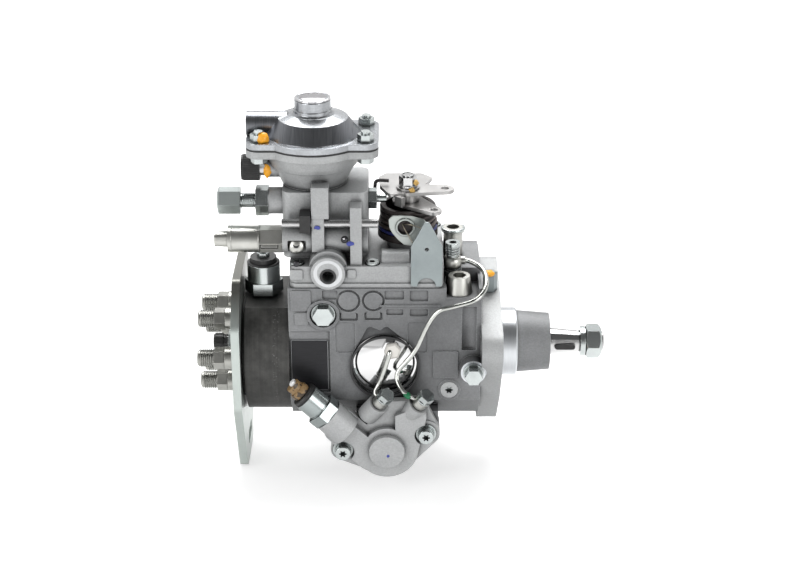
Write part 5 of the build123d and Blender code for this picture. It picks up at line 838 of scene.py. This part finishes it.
prism(
    "terminal_plug", rounded_box(0.0052, 0.0044, 0.0008), terminal_place,
    ((0, 1, 0), terminal_side, timing_axis), 0.0046, 0.0006, white_plastic, "casing",
)
turned(
    "can_rim", ((0.0076, 0.0098), (0.0079, 0.0104), (0.0088, 0.0104), (0.0091, 0.0098)),
    timing_seat, timing_axis, timing_mix, "casing",
)


# Timing cover bolts and the threaded plug. Each head has a six-lobed socket; the plug in the housing's wall
# is set flush.
def lobed_head(name, centre, radius, lobe, height, material):
    count = 72
    u_axis, v_axis, out = (Vector(a) for a in near_axes)
    vertices, faces = [], []
    for k in range(count):
        angle = 2 * math.pi * k / count
        inner = lobe * (0.80 + 0.20 * math.cos(6 * angle))
        side = u_axis * math.cos(angle) + v_axis * math.sin(angle)
        shoulder = ((radius, 0.0), (radius, height * 0.7), (radius - height * 0.3, height))
        for reach, rise in shoulder + ((inner, height), (inner, 0.0)):
            vertices.append(Vector(centre) + side * reach + out * rise)
        faces += strip(5 * k, 5 * ((k + 1) % count), 5)
    return mesh_piece(name, vertices, faces, material, "casing", 30.0)


for index, centre in enumerate(((-0.1137, -0.06345, -0.0593), (-0.0539, -0.06345, -0.0461))):
    lobed_head(f"timing_bolt_head_{index + 1}", centre, 0.0054, 0.0029, 0.0010, zinc_bright)
lobed_head("wall_plug_head", (-0.0373, -0.0440, -0.0177), 0.0064, 0.0030, 0.0006, timing_alloy)


# Leak pipes. Two thin bright steel pipes, bent by hand round the housing, each brazed into its banjo ring;
# the upper one runs from the overflow screw down to the timing cover, the lower one from the window.
def rounded_path(points, reach):
    steps = 8
    points = [Vector(p) for p in points]
    path = [points[0]]
    for before, corner, after in zip(points, points[1:], points[2:]):
        back = before - corner
        on = after - corner
        start = corner + back.normalized() * min(reach, back.length * 0.48)
        end = corner + on.normalized() * min(reach, on.length * 0.48)
        for k in range(steps + 1):
            part = k / steps
            path.append(start * (1 - part) ** 2 + corner * (2 * part * (1 - part)) + end * part**2)
    path.append(points[-1])
    return path


def swept(name, path, radius, material, body, sides=16):
    vertices, faces = [], []
    heading = (path[1] - path[0]).normalized()
    side = heading.orthogonal().normalized()
    for index, point in enumerate(path):
        ahead = path[min(index + 1, len(path) - 1)] - path[max(index - 1, 0)]
        heading = ahead.normalized()
        side = (side - heading * side.dot(heading)).normalized()
        other = heading.cross(side)
        for k in range(sides):
            angle = 2 * math.pi * k / sides
            vertices.append(point + (side * math.cos(angle) + other * math.sin(angle)) * radius)
    for level in range(len(path) - 1):
        faces += strip(level * sides, (level + 1) * sides, sides)
    faces.append(tuple(reversed(range(sides))))
    faces.append(tuple(range((len(path) - 1) * sides, len(path) * sides)))
    return mesh_piece(name, vertices, faces, material, body, 50.0)


pipe_steel = coated_steel("pipe_steel", (0.60, 0.61, 0.58), (0.44, 0.45, 0.43), 0.13, 1.0, 500.0, 0.05)
upper_path = (
    (-0.0301, -0.018, 0.0725), (-0.0240, -0.0190, 0.0732), (-0.0130, -0.0260, 0.0695),
    (-0.0110, -0.0420, 0.0642), (-0.0180, -0.0525, 0.0568), (-0.0360, -0.0525, 0.0516),
    (-0.0456, -0.0520, 0.0493), (-0.0525, -0.0515, 0.0390), (-0.0620, -0.0515, 0.0159),
    (-0.0765, -0.0520, -0.0010), (-0.0713, -0.0590, -0.0116), (-0.0608, -0.0598, -0.0175),
)
lower_path = (
    (-0.0797, -0.0512, 0.0177), (-0.0799, -0.0545, 0.0170), (-0.0835, -0.0540, 0.0037),
    (-0.0876, -0.0540, -0.0082), (-0.0909, -0.0562, -0.0134), (-0.0883, -0.0583, -0.0162),
)
pipe_radius = 0.00175
upper_pipe = swept(
    "upper_leak_pipe", rounded_path(upper_path, 0.0085), pipe_radius, pipe_steel, "casing"
)
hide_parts("leak_pipe_upper")
lower_pipe = swept(
    "lower_leak_pipe", rounded_path(lower_path, 0.006), pipe_radius, pipe_steel, "casing"
)
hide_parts("leak_pipe_lower")
banjo_axis = (0.5, -0.4, 0.77)
banjo_ring = (
    (-0.0036, 0.0033), (-0.0036, 0.0048), (-0.0030, 0.0054),
    (0.0030, 0.0054), (0.0036, 0.0048), (0.0036, 0.0033),
)
for name, place in (("lower_banjo", (-0.0861, -0.060, -0.0185)), ("upper_banjo", (-0.0577, -0.060, -0.0193))):
    turned(name, banjo_ring, place, banjo_axis, satin_steel, "casing", ring=True)
nut_zinc = coated_steel("nut_zinc", (0.74, 0.72, 0.68), (0.60, 0.58, 0.54), 0.42, 0.3, 300.0)
prism(
    "lower_pipe_nut", corners(0.0062, 6, 12), (-0.0778, -0.0478, 0.0165),
    ((1, 0, 0), (0, 0.17, 0.985), (0, -0.985, 0.17)), 0.0062, 0.0014, nut_zinc, "casing",
)
turned(
    "overflow_banjo",
    (
        (0.0675, 0.0037), (0.0675, 0.0056), (0.0684, 0.0063), (0.0700, 0.0067),
        (0.0735, 0.0067), (0.0750, 0.0062), (0.0760, 0.0054), (0.0760, 0.0037),
    ),
    (-0.0351, -0.018, 0.0), (0, 0, 1), satin_steel, "casing", ring=True, smooth=60.0,
)
turned(
    "overflow_neck", ((0.0, 0.0029), (0.0030, 0.0029), (0.0036, 0.0024), (0.0044, 0.0019)),
    (-0.0295, -0.018, 0.0725), (1, 0, 0), satin_steel, "casing",
)

# Inlet union, overflow screw and pressure valve on the deck. Turned steel; the screw shows the lower turns
# of its thread above the banjo, and the inlet has a rolled lip.
dress(satin_steel, "inlet_union", "regulator_valve")
threaded(
    "overflow_thread", (-0.0351, -0.018, 0.0764), (0, 0, 1), 0.0046, 0.0070, 0.0019, 0.0006,
    zinc_bright, "casing",
)
bead(
    "inlet_lip", 0.0860, 0.0078, 0.0012, 0.0012, (-0.0342, 0.010, 0.0), (0, 0, 1), zinc_bright,
)

# Window cover. A domed steel cap, polished like a mirror and pressed into the side of the housing; the dark
# ring round its edge is painted shadow at the rim of the recess.
mirror_steel = start_material("mirror_steel")
smear = noise(30, 2.0)
mirror_tone = blend_colour(smear, grey(0.70), grey(0.82))
end_material(principled(mirror_tone, 1.0, 0.03 + 0.05 * smear, bump(noise(25, 1.0), 0.12, 0.0012)))
dress(mirror_steel, "window_cover")
# Painted shadow: a dark ring round the cover stands for the shade at the rim of the recess.
painted_window_shadow = coated_steel("painted_window_shadow", (0.045, 0.045, 0.046), (0.022, 0.022, 0.023), 0.5, 0.0)
bead(
    "window_shadow_ring", 0.0466, 0.0242, 0.0009, 0.0009, (-0.0834, 0.0, 0.0010), (0, -1, 0), painted_window_shadow,
    96,
)

# Drive shaft, its key and the inner works. Hardened and ground steel, with a key darkened by oil and a bronze
# bush in the nose.
ground_steel = coated_steel("ground_steel", (0.70, 0.70, 0.70), (0.54, 0.54, 0.54), 0.07, 1.0, 500.0, 0.05)
dress(
    ground_steel, "drive_shaft", "lever_shaft", "distributor_plunger", "governor_shaft",
    "pump_ring", "pump_rotor", "drive_gear", "governor_cage", "flyweight_1", "flyweight_2", "flyweight_3",
    "flyweight_4", "governor_sleeve", "cross_disc", "roller_ring", "cam_plate", "control_collar",
    "adjusting_lever", "governor_levers", "timing_piston", "delivery_valves", "shutoff_armature",
    "boost_plunger",
)
dark_key = coated_steel("oiled_key", (0.05, 0.05, 0.05), (0.02, 0.02, 0.02), 0.3, 0.8)
dress(dark_key, "shaft_key")
bush_bronze = coated_steel("bush_bronze", (0.58, 0.42, 0.20), (0.42, 0.29, 0.12), 0.3, 1.0)
dress(bush_bronze, "shaft_bush")

# Return spring of the lever. A stack of dark oiled wire in a black cup on the tower, with a blue ring at its
# foot and a bright bracket in front.
lever_axis = (-0.067, 0.0, 0.0)
spring_finish = start_material("lever_spring_finish")
oiled_tone = blend_colour(noise(200), rgb(0.022, 0.018, 0.018), rgb(0.065, 0.055, 0.052))
# Painted shade in the crevices of the spring.
oiled_tone = blend_colour(0.9, oiled_tone, crevice_shade(0.002, 0.008, 0.1), "MULTIPLY")
end_material(principled(oiled_tone, 0.6, 0.3 + 0.1 * noise(80), edge_normal(0.0004)))
dress(spring_finish, "lever_spring")
dark_wire = coated_steel("oiled_wire", (0.055, 0.05, 0.05), (0.03, 0.028, 0.03), 0.35, 0.7)
dress(dark_wire, "plunger_springs", "timing_spring")
coil_turns = 4
coil_steps = coil_turns * 36
coil_path = []
for k in range(coil_steps + 1):
    part = k / coil_steps
    angle = 2 * math.pi * coil_turns * part
    reach = 0.0206 - 0.0034 * part
    coil_path.append(
        Vector((lever_axis[0] + reach * math.cos(angle), reach * math.sin(angle), 0.0935 + 0.0135 * part))
    )
coil_wire = coated_steel("coil_wire", (0.20, 0.165, 0.15), (0.07, 0.058, 0.054), 0.25, 0.8, 300.0, 0.1, 0.05)
swept("return_spring_wire", coil_path, 0.00130, coil_wire, "casing", 12)
blue_enamel = start_material("blue_ring")
end_material(principled(blend_colour(noise(200), rgb(0.010, 0.014, 0.075), rgb(0.02, 0.03, 0.16)), 0.0, 0.3))
bead(
    "spring_foot_ring", 0.0922, 0.0201, 0.0012, 0.0011, lever_axis, (0, 0, 1), blue_enamel, 64
)
bracket_outline = (
    (-0.0782, 0.1085), (-0.0806, 0.1060), (-0.0800, 0.1000), (-0.0782, 0.0963), (-0.0745, 0.0915),
    (-0.0698, 0.0871), (-0.0613, 0.0856), (-0.0600, 0.0900), (-0.0585, 0.0940), (-0.0560, 0.0985),
    (-0.0535, 0.1030), (-0.0560, 0.1062), (-0.0640, 0.1082), (-0.0720, 0.1090),
)


def holed_plate(name, outline, hole, radius, front, depth, material):
    count = 96
    farthest = 0.05
    vertices, faces = [], []
    edges = list(zip(outline, outline[1:] + outline[:1]))
    for k in range(count):
        angle = 2 * math.pi * k / count
        ray = (math.cos(angle), math.sin(angle))
        reach = farthest
        for (ax, az), (bx, bz) in edges:
            ex, ez = bx - ax, bz - az
            cross = ray[0] * ez - ray[1] * ex
            if abs(cross) < 1e-12:
                continue
            wx, wz = ax - hole[0], az - hole[1]
            far = (wx * ez - wz * ex) / cross
            part = (wx * ray[1] - wz * ray[0]) / cross
            if far > 0 and 0 <= part <= 1:
                reach = min(reach, far)
        for distance, y in ((reach, front), (radius, front), (radius, front + depth), (reach, front + depth)):
            vertices.append((hole[0] + ray[0] * distance, y, hole[1] + ray[1] * distance))
        faces += strip(4 * k, 4 * ((k + 1) % count), 4, reverse=True)
    return mesh_piece(name, vertices, faces, material, "casing", 30.0)


tongue_zinc = coated_steel("tongue_zinc", (0.52, 0.55, 0.53), (0.36, 0.39, 0.37), 0.26, 0.9, 260.0)
hole_x, hole_z, plate_front = -0.0690, 0.1005, -0.0243
holed_plate(
    "spring_bracket", bracket_outline, (hole_x, hole_z), 0.0054, plate_front, 0.0015, tongue_zinc,
)
turned(
    "bracket_bush", ((0.0, 0.0054), (0.0, 0.0066), (0.0008, 0.0068), (0.0012, 0.0064), (0.0012, 0.0054)),
    (hole_x, plate_front, hole_z), (0, -1, 0), tongue_zinc, "casing", ring=True,
)
seal_wire = coated_steel("seal_wire", (0.42, 0.38, 0.30), (0.26, 0.23, 0.18), 0.3, 1.0)
wire_paths = (
    (
        (-0.0712, -0.0225, 0.1025), (-0.0690, -0.0262, 0.0990),
        (-0.0650, -0.0270, 0.0920), (-0.0625, -0.0262, 0.0870),
    ),
    (
        (-0.0700, -0.0225, 0.1020), (-0.0655, -0.0266, 0.1035),
        (-0.0590, -0.0266, 0.1010), (-0.0550, -0.0255, 0.0990),
    ),
)
for index, path in enumerate(wire_paths):
    bent = rounded_path(path, 0.004)
    swept(f"seal_wire_{index + 1}", bent, 0.00035, seal_wire, "casing", 8)

# Speed lever. Two pressed steel plates, zinc-plated, on one hub, clamped by the nut on the lever shaft; the
# end of the return spring hooks over the left edge of the upper plate.
lever_plate = coated_steel(
    "lever_plate", (0.52, 0.51, 0.50), (0.38, 0.375, 0.37), 0.28, 1.0, 260.0, 0.15, 0.12
)
dress(lever_plate, "control_lever")
threaded(
    "lever_stud_thread", (lever_axis[0], 0.0, 0.1300), (0, 0, 1), 0.0039, 0.0009, 0.0007, 0.0002,
    zinc_bright, "speed_lever",
)
hook_path = (
    (-0.0905, 0.0070, 0.1065), (-0.0905, 0.0070, 0.1225),
    (-0.0880, 0.0070, 0.1240), (-0.0805, 0.0070, 0.1236),
)
swept("spring_hook", rounded_path(hook_path, 0.004), 0.0013, dark_wire, "speed_lever", 12)

# Flange plug. A small hexagon plug of zinc-plated steel, screwed into a drilling on top of the flange to
# close it.
prism(
    "flange_plug", corners(0.0052, 6), (-0.0072, -0.004, 0.0430), ((1, 0, 0), (0, 1, 0), (0, 0, 1)),
    0.0150, 0.0010, bracket_zinc, "casing",
)

# Sealing lacquer and assembly marks. Orange lacquer seals two joints of the compensator and a plug beside
# the flange, and golden lacquer the nut of the lever; dabs of blue and green paint mark finished steps.
def dab(name, centre, facing, size, material, seed, body="casing"):
    along, across, upward = frame_of(facing)
    vertices, faces = [], []
    rows, columns = 8, 20
    for row in range(rows + 1):
        tilt = math.pi * row / rows
        for column in range(columns):
            turn = 2 * math.pi * column / columns
            out = (
                along * math.cos(tilt)
                + (across * math.cos(turn) + upward * math.sin(turn)) * math.sin(tilt)
            )
            swell = 1.0 + 0.35 * form_noise.noise(out * 1.7 + Vector((seed, 0, 0)))
            vertices.append(
                Vector(centre)
                + along * (math.cos(tilt) * size[0] * swell)
                + across * (math.sin(tilt) * math.cos(turn) * size[1] * swell)
                + upward * (math.sin(tilt) * math.sin(turn) * size[2] * swell)
            )
    for row in range(rows):
        faces += strip(row * columns, (row + 1) * columns, columns, reverse=True)
    return mesh_piece(name, vertices, faces, material, body, 60.0)


def paint(name, first, second):
    material = start_material(name)
    colour = blend_colour(noise(350, 3.0), rgb(*first), rgb(*second))
    end_material(principled(colour, 0.0, 0.35, bump(noise(500), 0.2, 0.0003)))
    return material


lacquer = paint("orange_lacquer", (0.72, 0.29, 0.01), (0.88, 0.42, 0.02))
dab("bolt_lacquer", (-0.1672, -0.0215, 0.1655), (0.2, -1, 0.4), (0.0025, 0.0045, 0.0036), lacquer, 3)
dab("vent_lacquer", (-0.1655, -0.0105, 0.1380), (-0.2, -1, 0.2), (0.0022, 0.0032, 0.0048), lacquer, 8)
dab("plug_lacquer", (-0.0085, -0.0075, 0.0575), (0.1, -0.5, 1), (0.0016, 0.0044, 0.0030), lacquer, 44)
blue_paint = paint("blue_paint", (0.03, 0.04, 0.22), (0.06, 0.08, 0.34))
dab("blue_column_mark", (-0.1300, -0.0380, 0.1056), (0, -1, 0), (0.0003, 0.0022, 0.0014), blue_paint, 12)
dab("blue_wall_mark", (-0.1074, -0.0402, 0.0945), (0, -1, 0), (0.0003, 0.0026, 0.0018), blue_paint, 15)
dab("blue_cover_mark", (-0.0812, -0.0660, -0.0600), (0, -1, 0), (0.0002, 0.0011, 0.0011), blue_paint, 21)
green_paint = paint("green_paint", (0.00, 0.09, 0.03), (0.01, 0.20, 0.08))
dab(
    "green_pipe_mark", (-0.0672, -0.0594, -0.0142), (0.7, -0.1, -0.4), (0.0036, 0.0024, 0.0024), green_paint,
    27,
)
golden_lacquer = paint("golden_lacquer", (0.42, 0.24, 0.05), (0.62, 0.40, 0.12))
dab(
    "lever_lacquer_low", (-0.0640, -0.0068, 0.1212), (0.3, -1, 0.4), (0.0014, 0.0022, 0.0020),
    golden_lacquer, 31, "speed_lever",
)
dab(
    "lever_lacquer_high", (-0.0612, -0.0050, 0.1266), (0.4, -1, 0.4), (0.0014, 0.0020, 0.0020),
    golden_lacquer, 37, "speed_lever",
)

# Diaphragm and its spring. A sheet of fabric-backed rubber, clamped by its edge between the bowl and the
# cover. The plunger's plates hold its flat middle, and a coil of dark wire lifts them.
diaphragm_rubber = coated_steel("diaphragm_rubber", (0.035, 0.035, 0.036), (0.022, 0.022, 0.023), 0.55, 0.0)
compensator_x = compensator_axis[0]
clamped_low = 0.1568
rubber_thickness = 0.0014
middle_rise = 0.0058
ear_x, ear_y, ear_reach = 0.037, 0.018, 0.0086
flange_reach = 0.0366
bowl_mouth = 0.0292
bolt_hole = 0.0032


def eared_reach(flat, steep):
    if (ear_x + ear_reach) * steep <= ear_y * flat:
        reach = (ear_x + ear_reach) / flat
    elif (ear_y + ear_reach) * flat <= ear_x * steep:
        reach = (ear_y + ear_reach) / steep
    else:
        near = ear_x * flat + ear_y * steep
        reach = near + math.sqrt(near * near - (ear_x**2 + ear_y**2 - ear_reach**2))
    return max(reach, flange_reach)


def hole_at(x, y, radius, count):
    return [(x + u, y - v) for u, v in corners(radius, count)]


edge_loop = []
for u, v in corners(1.0, 144):
    reach = eared_reach(abs(u), abs(v))
    edge_loop.append((compensator_x + reach * u, reach * v))
loops = [edge_loop, hole_at(compensator_x, 0.0, bowl_mouth, 96)]
for side_x in (-1, 1):
    for side_y in (-1, 1):
        loops.append(hole_at(compensator_x + side_x * ear_x, side_y * ear_y, bolt_hole, 24))
flat_points = [point for loop in loops for point in loop]
upper = len(flat_points)
edge_vertices = [(x, y, clamped_low) for x, y in flat_points]
edge_vertices += [(x, y, clamped_low + rubber_thickness) for x, y in flat_points]
edge_faces = []
for a, b, c in tessellate_polygon([[Vector((x, y, 0.0)) for x, y in loop] for loop in loops]):
    (ax, ay), (bx, by), (cx, cy) = flat_points[a], flat_points[b], flat_points[c]
    if (bx - ax) * (cy - ay) - (by - ay) * (cx - ax) < 0:
        b, c = c, b
    edge_faces.append((upper + a, upper + b, upper + c))
    edge_faces.append((c, b, a))
first = 0
for loop in loops:
    edge_faces += strip(first, upper + first, len(loop))
    first += len(loop)
diaphragm_edge = mesh_piece(
    "diaphragm_edge", edge_vertices, edge_faces, diaphragm_rubber, "casing"
)
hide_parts("boost_diaphragm")
web_profile = (
    (middle_rise, 0.0041), (middle_rise, 0.0210), (0.0, 0.0290), (rubber_thickness, 0.0295),
    (middle_rise + rubber_thickness, 0.0215), (middle_rise + rubber_thickness, 0.0041),
)
clamp_centre = (compensator_x, 0.0, clamped_low)
diaphragm_web = turned(
    "diaphragm_web", web_profile, clamp_centre, (0, 0, 1), diaphragm_rubber, "casing", 96,
    ring=True,
)
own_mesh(diaphragm_web)
spring_seat = 0.134
spring_length = 0.0264
spring_radius = 0.012
wire_radius = 0.00125
wire_turns = 6
spring_steps = wire_turns * 32
flat_share = 0.07
spring_path = []
for k in range(spring_steps + 1):
    part = k / spring_steps
    rise = min(max((part - flat_share) / (1 - 2 * flat_share), 0.0), 1.0)
    angle = 2 * math.pi * wire_turns * part
    height = spring_seat + wire_radius + rise * (spring_length - 2 * wire_radius)
    spring_path.append(
        Vector((compensator_x + spring_radius * math.cos(angle), spring_radius * math.sin(angle), height))
    )
compensator_spring = swept(
    "compensator_spring", spring_path, wire_radius, dark_wire, "casing", 12
)
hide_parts("boost_spring")
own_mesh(compensator_spring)
